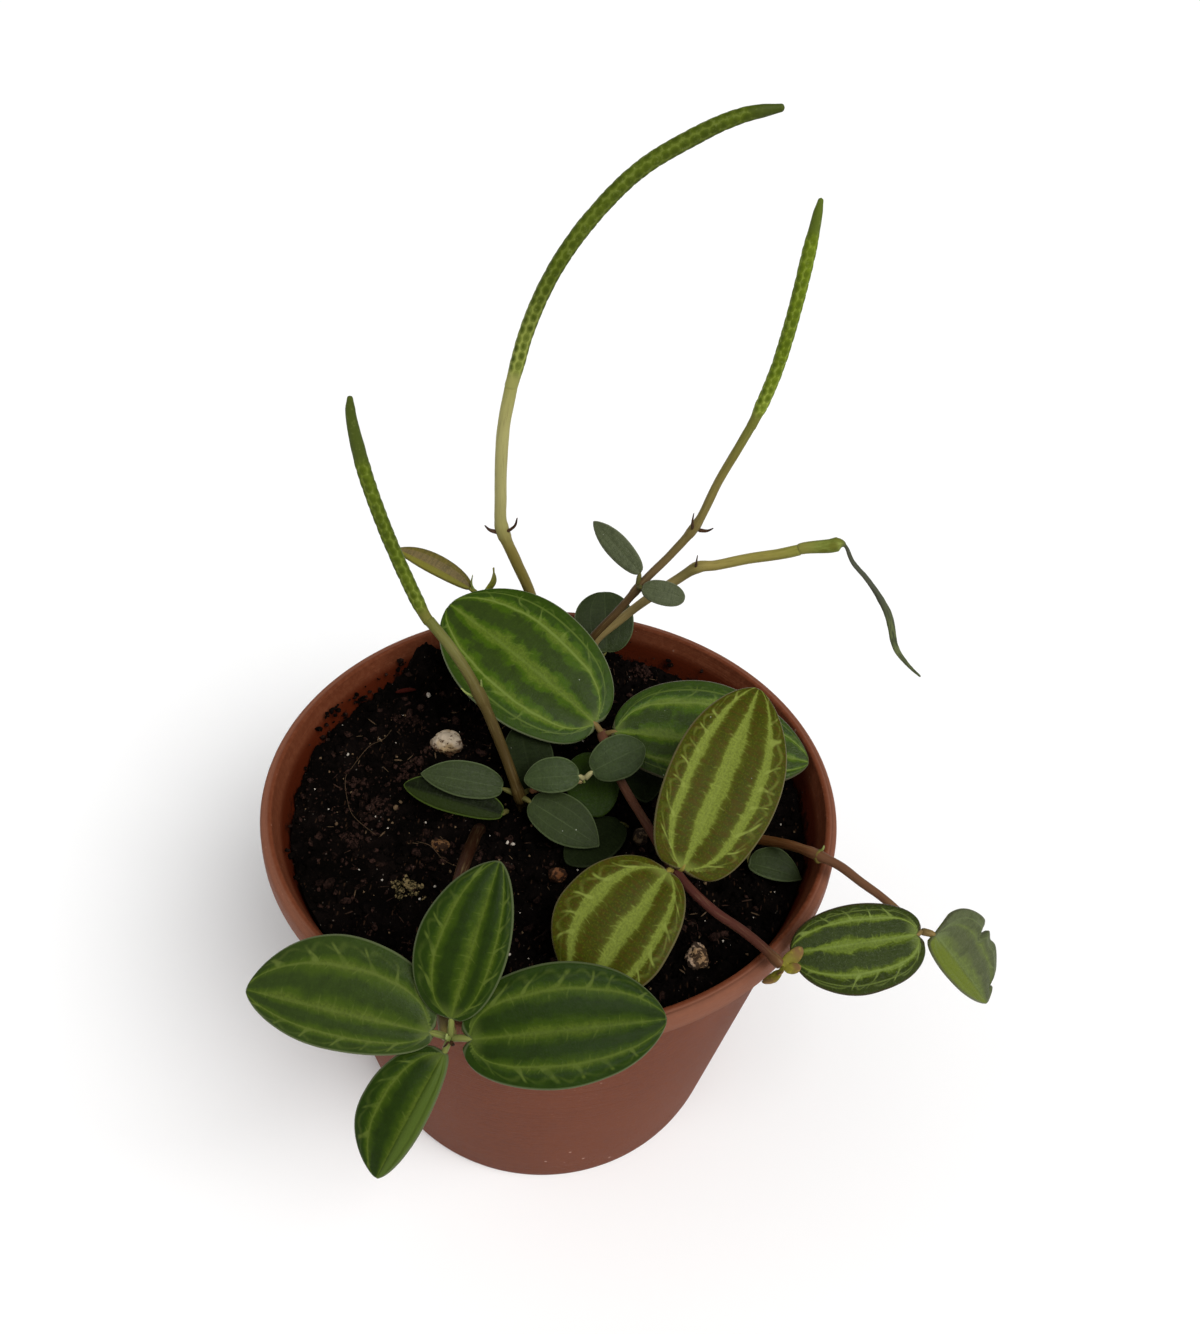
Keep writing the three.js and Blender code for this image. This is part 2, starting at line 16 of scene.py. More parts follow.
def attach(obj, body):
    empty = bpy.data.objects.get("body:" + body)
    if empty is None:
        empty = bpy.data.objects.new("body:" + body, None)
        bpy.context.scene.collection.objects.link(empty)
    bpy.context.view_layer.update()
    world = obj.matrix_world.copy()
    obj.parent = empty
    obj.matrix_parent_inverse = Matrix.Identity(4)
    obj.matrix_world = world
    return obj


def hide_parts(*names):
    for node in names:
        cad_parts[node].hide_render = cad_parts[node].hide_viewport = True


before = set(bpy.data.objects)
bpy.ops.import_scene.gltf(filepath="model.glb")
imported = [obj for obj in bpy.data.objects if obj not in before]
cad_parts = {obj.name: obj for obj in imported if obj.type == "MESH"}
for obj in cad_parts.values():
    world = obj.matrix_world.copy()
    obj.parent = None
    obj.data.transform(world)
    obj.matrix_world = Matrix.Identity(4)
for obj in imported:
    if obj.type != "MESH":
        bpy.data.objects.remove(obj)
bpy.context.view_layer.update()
print("frame loaded")


# Tools for shapes

millimetre = 0.001  # Blender works in metres


def smoothStep(value, low, high):
    share = min(1.0, max(0.0, (value - low) / (high - low)))
    return share * share * (3 - 2 * share)


def mix(a, b, share):
    return a + (b - a) * share


# The place at a distance and an angle from the middle of the pot
def around(radius, angle, height=0.0):
    return Vector((radius * math.cos(angle), radius * math.sin(angle), height))


# Noise from -1 to 1 that changes over about "size" millimetres
def waver(point, size, seed=0.0):
    return noise.noise(Vector(point) / size + Vector((seed, 2.7 * seed, 5.1)))


# What each vertex carries for the materials
vertLayers = {
    "tubePlace": "float_vector", "bladePlace": "float_vector", "veinPlace": "float_vector",
    "share": "float", "under": "float", "floret": "float", "tone": "float",
}


def startShape():
    shape = bmesh.new()
    for name, kind in vertLayers.items():
        getattr(shape.verts.layers, kind).new(name)
    return shape


def layersOf(shape, *names):
    return [getattr(shape.verts.layers, vertLayers[name])[name] for name in names]


def addToScene(name, content):
    thing = bpy.data.objects.new(name, content)
    bpy.context.scene.collection.objects.link(thing)
    return thing


def addMesh(shape, name, *materials):
    mesh = bpy.data.meshes.new(name)
    shape.to_mesh(mesh)
    shape.free()
    for material in materials:
        mesh.materials.append(material)
    return addToScene(name, mesh)


# "leaf_rear_striped" becomes "leafRearStriped"
def pieceName(node):
    first, *rest = node.split("_")
    return first + "".join(word.capitalize() for word in rest)


def finishPiece(shape, node, slot, *materials, name=None):
    bmesh.ops.recalc_face_normals(shape, faces=shape.faces)
    bmesh.ops.scale(shape, vec=[millimetre] * 3, verts=shape.verts)
    for face in shape.faces:
        face.smooth = True
    piece = addMesh(shape, name or pieceName(node), *materials)
    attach(piece, "root")
    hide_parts(node)


# Even steps along a rounded path, each with its place, direction, two sideways directions and
# the distance walked
def walkPath(points, step):
    knots = [Vector(point) for point in points]
    knots = [2 * knots[0] - knots[1]] + knots + [2 * knots[-1] - knots[-2]]
    fine = []
    for before, start, end, after in zip(knots, knots[1:], knots[2:], knots[3:]):
        pairs = (before, start), (start, end), (end, after)
        first, second, third = [math.sqrt((b - a).length) for a, b in pairs]
        middle = (end - start) / second
        leave = (start - before) / first - (end - before) / (first + second) + middle
        arrive = middle - (after - start) / (second + third) + (after - end) / third
        handles = start + leave * second / 3, end - arrive * second / 3
        fine += interpolate_bezier(start, *handles, end, 30)[:-1]
    fine.append(knots[-2])
    reached = [0.0]
    for a, b in zip(fine, fine[1:]):
        reached.append(reached[-1] + (b - a).length)
    count = max(3, round(reached[-1] / step))
    places = []
    for i in range(count + 1):
        distance = reached[-1] * i / count
        at = min(bisect_left(reached, distance, 1), len(fine) - 1) - 1
        share = (distance - reached[at]) / (reached[at + 1] - reached[at])
        places.append((fine[at].lerp(fine[at + 1], share), distance))
    walk, side = [], None
    for i, (place, distance) in enumerate(places):
        ahead = (places[min(i + 1, count)][0] - places[max(i - 1, 0)][0]).normalized()
        side = side or ahead.orthogonal()
        side = (side - ahead * side.dot(ahead)).normalized()
        walk.append((place, ahead, side, ahead.cross(side), distance))
    return walk


# A closed round bar along a path: a grid rolled up. radiusAt takes the share of the way along,
# the distance and the angle, in radians.
def addTube(shape, points, radiusAt, step, sides, material=0, flatness=None, tone=0.0):
    walk = walkPath(points, step)
    last, length = len(walk) - 1, walk[-1][4]
    verts = bmesh.ops.create_grid(shape, x_segments=sides, y_segments=last, size=1)["verts"]
    place, share, tones = layersOf(shape, "tubePlace", "share", "tone")
    for vert in verts:
        angle = (vert.co.x + 1) * math.pi
        spot, ahead, side, up, distance = walk[round((vert.co.y + 1) / 2 * last)]
        radius = radiusAt(distance / length, distance, angle)
        nearEnd = min(distance, length - distance) / max(radius, 0.05)
        radius *= math.sqrt(max(0.0, 1 - (1 - min(1.0, nearEnd)) ** 2))
        thin = flatness(distance / length) if flatness else 1.0
        vert[place] = around(1, angle, distance)
        vert[share] = distance / length
        vert[tones] = tone
        vert.co = spot + (side * (math.cos(angle) * radius) + up * (math.sin(angle) * radius * thin))
    for face in {face for vert in verts for face in vert.link_faces}:
        face.material_index = material
    bmesh.ops.remove_doubles(shape, verts=verts, dist=1e-4)


# Tools for materials

def tint(colour, brightness):
    return tuple(value * brightness for value in colour)


def linearColour(colour):
    return (*Color(tint(colour, 1 / 255)).from_srgb_to_scene_linear(), 1.0)


# Fills a node's inputs with numbers, colours or wires
def plug(node, inputs):
    for name, value in inputs.items():
        if isinstance(value, Wire):
            node.id_data.links.new(value.socket, node.inputs[name])
        else:
            node.inputs[name].default_value = value


# What one node of a material hands on to the next
class Wire:
    def __init__(self, tree, kind, inputs=None, output=0, **settings):
        self.tree, self.node = tree, tree.nodes.new("ShaderNode" + kind)
        for name, value in settings.items():
            setattr(self.node, name, value)
        plug(self.node, inputs or {})
        self.socket = self.node.outputs[output]

    def feed(self, kind, inputs, output=0, **settings):
        return Wire(self.tree, kind, {0: self, **inputs}, output, **settings)

    def calc(self, operation, *others):
        return self.feed("Math", dict(enumerate(others, 1)), operation=operation)

    __add__ = partialmethod(calc, "ADD")
    __sub__ = partialmethod(calc, "SUBTRACT")
    __mul__ = partialmethod(calc, "MULTIPLY")
    __abs__ = partialmethod(calc, "ABSOLUTE")

    def step(self, low, high):  # 0 before low and 1 past high, whichever is the larger
        falling = float(low > high)
        ends = {1: min(low, high), 2: max(low, high), 3: falling, 4: 1 - falling}
        return self.feed("MapRange", ends, interpolation_type="SMOOTHSTEP")

    def split(self):
        return [self.feed("SeparateXYZ", {}, axis) for axis in range(3)]

    def stretch(self, scale, location=(0, 0, 0)):
        return self.feed("Mapping", {1: location, 3: scale})

    def cloud(self, scale, detail=3, roughness=0.5, distortion=0):
        grain = {"Scale": scale, "Detail": detail, "Roughness": roughness, "Distortion": distortion}
        return self.feed("TexNoise", grain)

    def cells(self, scale):
        return self.feed("TexVoronoi", {"Scale": scale})


# Lays coats of colour over one another, each with its share
def paint(colour, *coats):
    for share, coat in coats:
        under, over = [linearColour(each) if isinstance(each, tuple) else each for each in (colour, coat)]
        colour = share.feed("Mix", {6: under, 7: over}, 2, data_type="RGBA")
    return colour


# A material in the making
class Skin:
    def __init__(self, name):
        self.material = bpy.data.materials.new(name)
        self.material.use_nodes = True
        self.tree = self.material.node_tree

    def place(self):
        return Wire(self.tree, "TexCoord", output="Object")

    def layers(self, *names):
        outputs = {"float": "Fac", "float_vector": "Vector"}
        return [
            Wire(self.tree, "Attribute", output=outputs[vertLayers[name]], attribute_name=name)
            for name in names
        ]

    def finish(self, colour, roughness, specular=0.5, relief=None, depth=0.0, strength=1.0):
        inputs = {"Base Color": colour, "Roughness": roughness, "Specular IOR Level": specular}
        if relief:
            bump = {"Height": relief, "Distance": depth, "Strength": strength}
            inputs["Normal"] = Wire(self.tree, "Bump", bump)
        plug(self.tree.nodes["Principled BSDF"], inputs)
        return self.material


# Camera, lights and floor

studio = {
    "cameraPlace": (8.25, -154.64, 247.67), "cameraDown": 39.598, "cameraRoll": -4.037,
    "lens": 27.956, "sensor": 36,
    "skyColour": (1.0, 0.995, 0.985, 1.0),  # as shares of full light
    "skyStrength": 0.2, "horizonStrength": 1.0,
    # strength, then turn and softness in degrees
    "lights": {"keyLight": (2.9, (26, 30, 0), 40), "fillLight": (0.6, (14, -32, 0), 70)},
    "floorSize": 12.0, "floorColour": (250, 250, 250),
}


def makeCamera():
    lens = bpy.data.cameras.new("camera")
    lens.lens = studio["lens"]
    lens.sensor_width = studio["sensor"]
    lens.clip_start = 0.01
    lens.clip_end = 100
    camera = addToScene("camera", lens)
    tilt = Matrix.Rotation(math.radians(90 - studio["cameraDown"]), 4, "X")
    roll = Matrix.Rotation(math.radians(-studio["cameraRoll"]), 4, "Z")
    camera.matrix_world = Matrix.Translation(Vector(studio["cameraPlace"]) * millimetre) @ tilt @ roll
    bpy.context.scene.camera = camera


def makeLights():
    for name, (strength, turn, softness) in studio["lights"].items():
        light = bpy.data.lights.new(name, "SUN")
        light.energy = strength
        light.angle = math.radians(softness)
        addToScene(name, light).rotation_euler = [math.radians(angle) for angle in turn]
    world = bpy.data.worlds.new("sky")
    world.use_nodes = True
    height = Wire(world.node_tree, "TexCoord", output="Generated").split()[2]
    low = height.step(0.35, 0.1)  # brighter near the horizon
    strength = low * (studio["horizonStrength"] - studio["skyStrength"]) + studio["skyStrength"]
    plug(world.node_tree.nodes["Background"], {"Color": studio["skyColour"], "Strength": strength})
    bpy.context.scene.world = world
    bpy.context.scene.view_settings.view_transform = "Standard"


def makeFloor():
    shape = bmesh.new()
    bmesh.ops.create_grid(shape, x_segments=1, y_segments=1, size=studio["floorSize"] / 2)
    paper = Skin("floorPaint").finish(linearColour(studio["floorColour"]), 0.9)
    addMesh(shape, "floor", paper)


makeCamera()
makeLights()
makeFloor()
print("studio ready")


# Pot

potShape = {
    "height": 88.0, "rimRadius": 60.0, "rimInnerRadius": 57.8, "lipRadius": 60.4, "lipHeight": 4.6,
    "wallTopRadius": 57.0, "baseRadius": 44.0, "wall": 1.2, "floor": 1.6, "steps": 192,
    "drainHoles": 6, "drainRadius": 4.0, "drainCircle": 31.0, "warp": 0.015, "warpFrom": 80,
    # "rim" is a painted highlight on the lip and "inside" is painted shade within the pot
    "plastic": (93, 47, 28), "cloudy": (101, 53, 33), "grain": (108, 60, 39), "line": (76, 38, 24),
    "scratch": (168, 122, 104), "dust": (190, 156, 138), "rim": (132, 90, 72), "inside": (72, 26, 10),
    "peat": (20, 11, 7),
}


# Radius and height of each point, from the middle of the underside round to the middle of the floor
def potOutline():
    pot = potShape
    top, floor, thick = pot["height"], pot["floor"], pot["wall"]
    wall, base, rim, inner = pot["wallTopRadius"], pot["baseRadius"], pot["rimRadius"], pot["rimInnerRadius"]
    lip, under = pot["lipRadius"], top - pot["lipHeight"]
    slope = (wall - base) / under
    outside = [(base + slope * height, height) for height in (2.5, 12, 24, 36, 48, 58, 66, 74, 79)]
    inside = [(base - thick + slope * (height - floor), height) for height in (74, 66, 56, 44, 30, 16, 5)]
    return [
        (0.01, 1), (18, 1), (36, 1), (41.2, 0.9), (41.8, 0.1), (base - 0.8, 0), (base - 0.25, 0.2),
        (base, 0.8), *outside, (wall - 0.25, under - 1.2), (wall + 0.15, under - 0.45),
        (wall + 1.2, under - 0.2), (lip - 0.9, under - 0.02), (lip - 0.25, under + 0.2),
        (lip, under + 0.65), (lip - 0.04, top - 2.6), (rim + 0.22, top - 0.75), (rim + 0.02, top - 0.25),
        (rim - 0.45, top), (rim - 0.8, top - 0.02), (rim - 0.92, top - 0.12), (rim - 1.04, top - 0.02),
        (inner + 0.45, top), (inner + 0.12, top - 0.12), (inner, top - 0.5), (inner - 0.5, top - 1.9),
        (inner - 1.2, top - 3.4), (wall - thick, under - 1.6), *inside, (base - thick - 0.6, floor + 0.5),
        (base - 2.6, floor), (36, floor), (18, floor), (0.01, floor),
    ]


def makePotPlastic():
    skin = Skin("potPlastic")
    place = skin.place()
    x, y, z = place.split()
    level = z * 1000
    reach = (x * x + y * y).calc("SQRT") * 1000
    turned = y.calc("ARCTAN2", x).feed("CombineXYZ", {1: reach, 2: level})
    broad = place.cloud(30, 4, 0.6)
    fine = place.cloud(900, 3, 0.6)
    lines = turned.stretch((2, 3.2, 3.2)).cloud(1, 4, 0.7)  # drawn out round the pot
    scratches = turned.stretch((26, 1, 1.1), (3, 0, 0)).cells(1).step(0.13, 0.04) * broad.step(0.49, 0.6)
    dusty = place.cells(260).step(0.11, 0.05) * place.cloud(60).step(0.54, 0.66)
    # painted highlight: the lip round the top is painted lighter
    paintedRimHighlight = level.step(83, 84) * reach.step(58.4, 59)
    # inside: painted shade, darker and redder and more so lower down, and smeared with peat above the soil
    inner = reach.step(58.2, 57.6) * (level * -0.156 + reach).step(43.6, 43.2)
    deep = level.step(86.5, 82) * 0.14 + 0.86
    dirt = inner * (place.cloud(190, 5, 0.7) + level.step(86, 77) * 0.28).step(0.66, 0.82)
    colour = paint(
        potShape["plastic"],
        (broad.step(0.3, 0.7), potShape["cloudy"]),
        (fine.step(0.35, 0.75), potShape["grain"]),
        (lines.step(0.5, 0.75) * 0.4, potShape["line"]),
        (scratches * 0.5, potShape["scratch"]),
        (dusty * 0.7, potShape["dust"]),
        # painted highlight on the lip
        (paintedRimHighlight * 0.55, potShape["rim"]),
        # painted shade inside the pot
        (inner * deep, potShape["inside"]),
        (dirt * 0.85, potShape["peat"]),
    )
    return skin.finish(colour, fine * 0.2 + 0.4, 0.03, lines + fine * 0.35 + dirt * 1.2, 0.00025, 0.6)


def makePot():
    shape = bmesh.new()
    verts = [shape.verts.new((radius, 0, height)) for radius, height in potOutline()]
    for ends in zip(verts, verts[1:]):
        shape.edges.new(ends)
    bmesh.ops.spin(
        shape, geom=shape.verts[:] + shape.edges[:], cent=(0, 0, 0), axis=(0, 0, 1),
        angle=math.tau, steps=potShape["steps"], use_merge=True,
    )
    bmesh.ops.remove_doubles(shape, verts=shape.verts, dist=0.02)
    for vert in shape.verts:  # the rim is a little out of true
        turn = math.sin(2 * math.atan2(vert.co.y, vert.co.x) + 0.6)
        vert.co.z += potShape["warp"] * turn * max(0.0, vert.co.z - potShape["warpFrom"])
    bmesh.ops.recalc_face_normals(shape, faces=shape.faces)
    blank = addMesh(shape, "potBlank")
    holes = bmesh.new()
    for i in range(potShape["drainHoles"]):
        spot = around(potShape["drainCircle"], math.radians(30) + math.tau * i / potShape["drainHoles"])
        bmesh.ops.create_cone(
            holes, cap_ends=True, segments=32, radius1=potShape["drainRadius"],
            radius2=potShape["drainRadius"], depth=8, matrix=Matrix.Translation(spot),
        )
    drill = addMesh(holes, "drill")
    cut = blank.modifiers.new("drainHoles", "BOOLEAN")
    cut.operation = "DIFFERENCE"
    cut.object = drill
    bpy.context.view_layer.update()
    drilled = blank.evaluated_get(bpy.context.evaluated_depsgraph_get())
    shape = startShape()
    shape.from_mesh(drilled.to_mesh())
    bpy.data.objects.remove(blank)
    bpy.data.objects.remove(drill)
    finishPiece(shape, "pot", "pot", makePotPlastic(), name="pottedPot")


makePot()
print("pot made")


# Soil

soilShape = {
    "level": 76.4, "radius": 54.16, "wallFoot": 42.72, "wallSlope": 0.15588, "segments": 250,
    "sides": (70.0, 40.0, 1.9),  # heights of the edges below the surface
    "heap": (-35.6, 43.2), "heapRise": 6.5, "heapSpread": 4.5,  # peat piled against the wall
    "clods": ((4.2, 0.75), (1.9, 0.6), (0.85, 0.36)),  # size and depth
    "crumbs": 3200, "wallCrumbs": 240, "flakes": 420, "specks": 190, "handful": 60, "seed": 41,
    # x, y, height above the soil, half size and tone of bits that stand out
    "bits": (
        (-32.7, 32.4, 0.5, 0.8, 0.95), (-47, 10.1, 0.5, 0.42, 0.95), (-8.6, -10, 0.5, 0.6, 0.95),
        (-7.6, -9.8, 0.5, 0.5, 0.93), (-41, 16.4, 0.7, 0.45, 0.8), (-33.9, -2.5, 0.9, 0.7, 0.82),
        (-33.1, -1.1, 0.9, 0.5, 0.85), (29.6, -14.2, 0.6, 0.7, 0.82), (33.2, -16.6, 0.4, 0.5, 0.84),
        (-44.6, -10.6, 0.4, 0.5, 0.74), (-38.6, -5.4, 0.7, 1.1, 0.56), (-36.4, -7.8, 0.8, 0.9, 0.6),
        (14.4, -31, 0.6, 0.8, 0.7), (-21.4, -31.4, 0.6, 0.9, 1.2), (4.4, -11.8, 0.8, 0.9, 0.66),
        (-14.6, -28.6, 0.4, 0.6, 0.8),
    ),
    # x, y, spread along x and y, rise, tone and number of crumbs
    "heaps": (
        (-27.8, -23.7, 2.6, 1.6, 1.1, 1.2, 80), (-29.8, 15.2, 1, 1.4, 0.9, 0.66, 30),
        (-31.6, 11.8, 1.1, 1.4, 0.9, 0.62, 30), (-33.8, 7.6, 0.9, 1.3, 0.7, 0.61, 22),
        (-37, -4, 3, 2.6, 0.9, 0.55, 60), (-43, 2, 2.2, 3.4, 0.8, 0.55, 50),
        (-41, -13, 2.6, 2.6, 0.8, 0.56, 44), (-36, 24, 4, 2.2, 0.7, 0.5, 50),
        (19, 47.4, 2.6, 1.6, 1.8, 0.58, 60), (44, 2, 2.6, 4.4, 0.5, 0.5, 40),
        (24, -30, 2.4, 2.4, 0.6, 0.48, 30),
    ),
    # angle in degrees, height and size
    "wallClumps": (
        (160, 85.4, 0.9), (162.4, 86.2, 0.7), (158.5, 85.2, 0.6), (151, 82.4, 0.8), (141, 81, 0.9),
    ),
    # root hairs that lie on the soil
    "hairs": (
        ((-38.2, 23.9), (-40.3, 17.4), (-42.7, 12.4), (-45.4, 6.9), (-45.9, 3.1), (-44.4, -2.3),
         (-41.9, -7.4), (-36, -11.9)),
        ((-27.8, -12.4), (-24.6, -13.3), (-21.3, -15.7), (-16.1, -19)),
        ((27.6, -23.4), (28.4, -26.2), (30.8, -28.4)), ((-12, -25), (-8, -30), (-9, -35), (-4, -38)),
    ),
    "hairRadius": 0.07, "bark": ((-40.4, 31), (-38, 32.8), (-35.8, 34)), "barkRadius": 0.6,
    "colour": (5, 3, 2), "cloudy": (15, 10, 8), "grain": (40, 29, 23), "fibre": (88, 62, 44),
    "brown": (56, 38, 32), "grey": (104, 84, 62), "pale": (190, 180, 166), "wet": (130, 118, 106),
    "moss": (26, 25, 13), "mossTip": (122, 106, 72), "barkColour": (58, 20, 15),
}


def soilHeight(x, y):
    soil = soilShape
    edge = 2.4 * (math.hypot(x, y) / soil["radius"]) ** 3
    left = 3 * max(0.0, -x / soil["radius"] - 0.45)
    swells = 0.5 * math.sin(0.31 * x + 1) * math.cos(0.27 * y) + 0.4 * math.sin(0.55 * y + 0.4 * x)
    clods = 0.75 * math.sin(0.64 * x - 0.36 * y + 2) * math.sin(0.56 * y + 0.3 * x)
    fromHeap = math.hypot(x - soil["heap"][0], y - soil["heap"][1]) / soil["heapSpread"]
    return soil["level"] + edge + left + swells + clods + soil["heapRise"] * math.exp(-(fromHeap ** 2) / 2)


def wallRadius(height):
    return soilShape["wallFoot"] + soilShape["wallSlope"] * (height - potShape["floor"])


# A point of the peat with its clods, raised by "lift"
def onPeat(x, y, lift):
    height = soilHeight(x, y) - 0.25
    for size, depth in soilShape["clods"]:
        height += depth * (1.1 - 2.6 * abs(waver((x, y, 3.0), size, size)))
    return Vector((x, y, height + lift))


def makePeat():
    skin = Skin("peat")
    place, soil = skin.place(), soilShape
    [tone] = skin.layers("tone")
    broad = place.cloud(160, 5, 0.65)
    fine = place.cloud(1500, 4, 0.7)
    fibres = place.stretch((1, 0.25, 0.6)).cells(900)
    mottled = fine.step(0.42, 0.58) * 0.85 + 0.15
    # painted glints: small pale spots in patches, as if catching the light, which are also made glossier
    wet = place.cells(700).step(0.14, 0.05) * broad.step(0.5, 0.6)
    colour = paint(
        soil["colour"],
        (broad.step(0.42, 0.7), soil["cloudy"]),
        (fine.step(0.56, 0.8), soil["grain"]),
        (fibres.step(0.2, 0.08) * 0.3, soil["fibre"]),
        # each crumb carries its own tone
        (tone.step(0.35, 0.6) * mottled, soil["brown"]),
        (tone.step(0.65, 0.8), soil["grey"]),
        (tone.step(0.86, 0.95), soil["pale"]),
        (tone.step(1.05, 1.15), paint(soil["moss"], (fine.step(0.44, 0.56), soil["mossTip"]))),
        (tone.step(1.25, 1.35), soil["barkColour"]),
        # painted glints
        (wet * 0.5, soil["wet"]),
    )
    return skin.finish(colour, wet * -0.4 + 0.95, 0.03, broad + fine * 0.7, 0.0009, 0.9)


def makeSoil():
    shape = startShape()
    segments, radius = soilShape["segments"], soilShape["radius"]
    grid = bmesh.ops.create_grid(shape, x_segments=segments, y_segments=segments, size=1)
    for vert in grid["verts"]:  # a square grid eased into a disc that meets the wall
        x, y = vert.co.x, vert.co.y
        x, y = x * math.sqrt(1 - y * y / 2), y * math.sqrt(1 - x * x / 2)
        flat = Vector((x, y, 0)) * radius
        outward = wallRadius(soilHeight(flat.x, flat.y)) / radius
        flat *= mix(1, outward, smoothStep(math.hypot(x, y), 0.9, 1.0))
        vert.co = onPeat(flat.x, flat.y, 0)
    rim = [edge for edge in shape.edges if edge.is_boundary]
    for height in soilShape["sides"]:
        sides = bmesh.ops.extrude_edge_only(shape, edges=rim)["geom"]
        for vert in sides:
            if isinstance(vert, bmesh.types.BMVert):
                vert.co = around(wallRadius(height), math.atan2(vert.co.y, vert.co.x), height)
        rim = [part for part in sides if isinstance(part, bmesh.types.BMEdge) and part.is_boundary]
    bmesh.ops.holes_fill(shape, edges=rim)
    finishPiece(shape, "soil", "soil", peat, name="peatSoil")


# Litter, whose functions all draw from one seeded row of random numbers

draw = random.Random(soilShape["seed"])


def addLump(shape, spot, size, tone, subdivisions=1, raggedness=0.34):
    turn = Matrix.Rotation(draw.uniform(0, math.tau), 4, "Z") @ Matrix.Rotation(draw.uniform(0, 3), 4, "X")
    matrix = Matrix.Translation(spot) @ turn @ Matrix.Diagonal((*size, 1))
    lump = bmesh.ops.create_icosphere(shape, subdivisions=subdivisions, radius=1, matrix=matrix)
    [tones] = layersOf(shape, "tone")
    for vert in lump["verts"]:
        vert.co += (vert.co - spot) * draw.uniform(-raggedness, raggedness)
        vert[tones] = tone


def anywhere(reach=0.99):
    angle, radius = draw.uniform(0, math.tau), soilShape["radius"] * reach * math.sqrt(draw.random())
    return around(radius, angle).xy


def dropCrumb(handful):
    x, y = anywhere()
    size = 0.3 + 1.1 * draw.random() ** 3
    sizes = size, size * draw.uniform(0.5, 0.9), size * draw.uniform(0.4, 0.8)
    brown = smoothStep(waver((x, y, 0), 9) - x / 160, -0.15, 0.3)  # crumbs of a kind lie together
    tone = draw.uniform(0.38, 0.64) if draw.random() < 0.15 + 0.6 * brown else draw.uniform(0, 0.3)
    addLump(handful, onPeat(x, y, size * 0.25), sizes, tone, 2 if size > 1 else 1)


# Crumbs that cling to the wall, most at the back left
def dropWallCrumb(handful):
    angle = math.radians(draw.gauss(128, 40))
    height = 79 + 6.5 * draw.random() ** 2.2
    size = 0.25 + 0.75 * draw.random() ** 3
    tone = draw.choice((0.0, 0.2, 0.45, 0.66))
    addLump(handful, around(wallRadius(height) - 0.1, angle, height), (size, size * 0.7, size * 0.7), tone)


# Bits of fibre and bark that lie every way
def dropFlake(handful):
    x, y = anywhere(0.94)
    length = draw.uniform(0.8, 2.8)
    step = around(1, draw.uniform(0, math.tau), draw.uniform(-0.15, 0.4)) * length / 2
    middle = onPeat(x, y, 0.45 + draw.uniform(0, 0.3))
    start, end = middle - step, middle + step
    start.z = max(start.z, soilHeight(start.x, start.y))
    thick, tone = draw.uniform(0.07, 0.2), draw.choice((0.3, 0.45, 0.55, 0.68, 0.74))
    addTube(handful, (start, middle, end), lambda *place: thick, length / 4, 5, tone=tone)


def dropSpeck(handful):
    x, y = anywhere()
    size = draw.uniform(0.12, 0.32)
    addLump(handful, onPeat(x, y, 0.35), (size, size, size), draw.choice((0.82, 0.86, 0.97)))


def addHeap(shape, x, y, wide, deep, rise, tone, count):
    for i in range(count):
        across, along = draw.gauss(0, 1), draw.gauss(0, 1)
        high = rise * math.exp(-(across ** 2 + along ** 2) / 2) * draw.uniform(0.4, 1)
        size = draw.uniform(0.3, 0.75)
        sizes = size, size * draw.uniform(0.6, 1), size * draw.uniform(0.5, 0.9)
        spot = onPeat(x + across * wide * 0.6, y + along * deep * 0.6, high)
        addLump(shape, spot, sizes, tone + draw.uniform(-0.06, 0.06))


def addPlacedLitter(shape):
    for x, y, lift, size, tone in soilShape["bits"]:
        addLump(shape, onPeat(x, y, lift), (size, size * 0.75, size * 0.6), tone, 2, 0.16)
    for heap in soilShape["heaps"]:
        addHeap(shape, *heap)
    for angle, height, size in soilShape["wallClumps"]:
        radius = wallRadius(height) - 0.3
        for i in range(5):
            shift = Vector([draw.gauss(0, size * 0.6) for axis in range(3)])
            spot = around(radius, math.radians(angle), height) + shift
            spot.xy *= min(1.0, radius / spot.xy.length)
            addLump(shape, spot, (size * 0.7, size * 0.5, size * 0.5), 0.15)
    for hair in soilShape["hairs"]:
        points = [onPeat(x, y, 1.0) for x, y in hair]
        addTube(shape, points, lambda *place: soilShape["hairRadius"], 0.8, 6, tone=0.72)

    def barkRadius(share, *place):
        return soilShape["barkRadius"] * math.sin(math.pi * mix(0.1, 0.9, share))

    addTube(shape, [onPeat(x, y, 1.4) for x, y in soilShape["bark"]], barkRadius, 0.5, 8, tone=1.4)


def pour(handful, shape):
    mesh = bpy.data.meshes.new("handful")
    handful.to_mesh(mesh)
    handful.free()
    shape.from_mesh(mesh)
    bpy.data.meshes.remove(mesh)


# Loose litter is gathered in handfuls, because a small mesh is quick to add to
def makeLitter():
    shape = startShape()
    kinds = {"crumbs": dropCrumb, "wallCrumbs": dropWallCrumb, "flakes": dropFlake, "specks": dropSpeck}
    for kind, drop in kinds.items():
        count = soilShape[kind]
        for first in range(0, count, soilShape["handful"]):
            handful = startShape()
            for i in range(first, min(count, first + soilShape["handful"])):
                drop(handful)
            pour(handful, shape)
    placed = startShape()
    addPlacedLitter(placed)
    pour(placed, shape)
    finishPiece(shape, "soil", "soil", peat, name="peatCrumbs")


peat = makePeat()
makeSoil()
makeLitter()
print("soil made")


# Grains

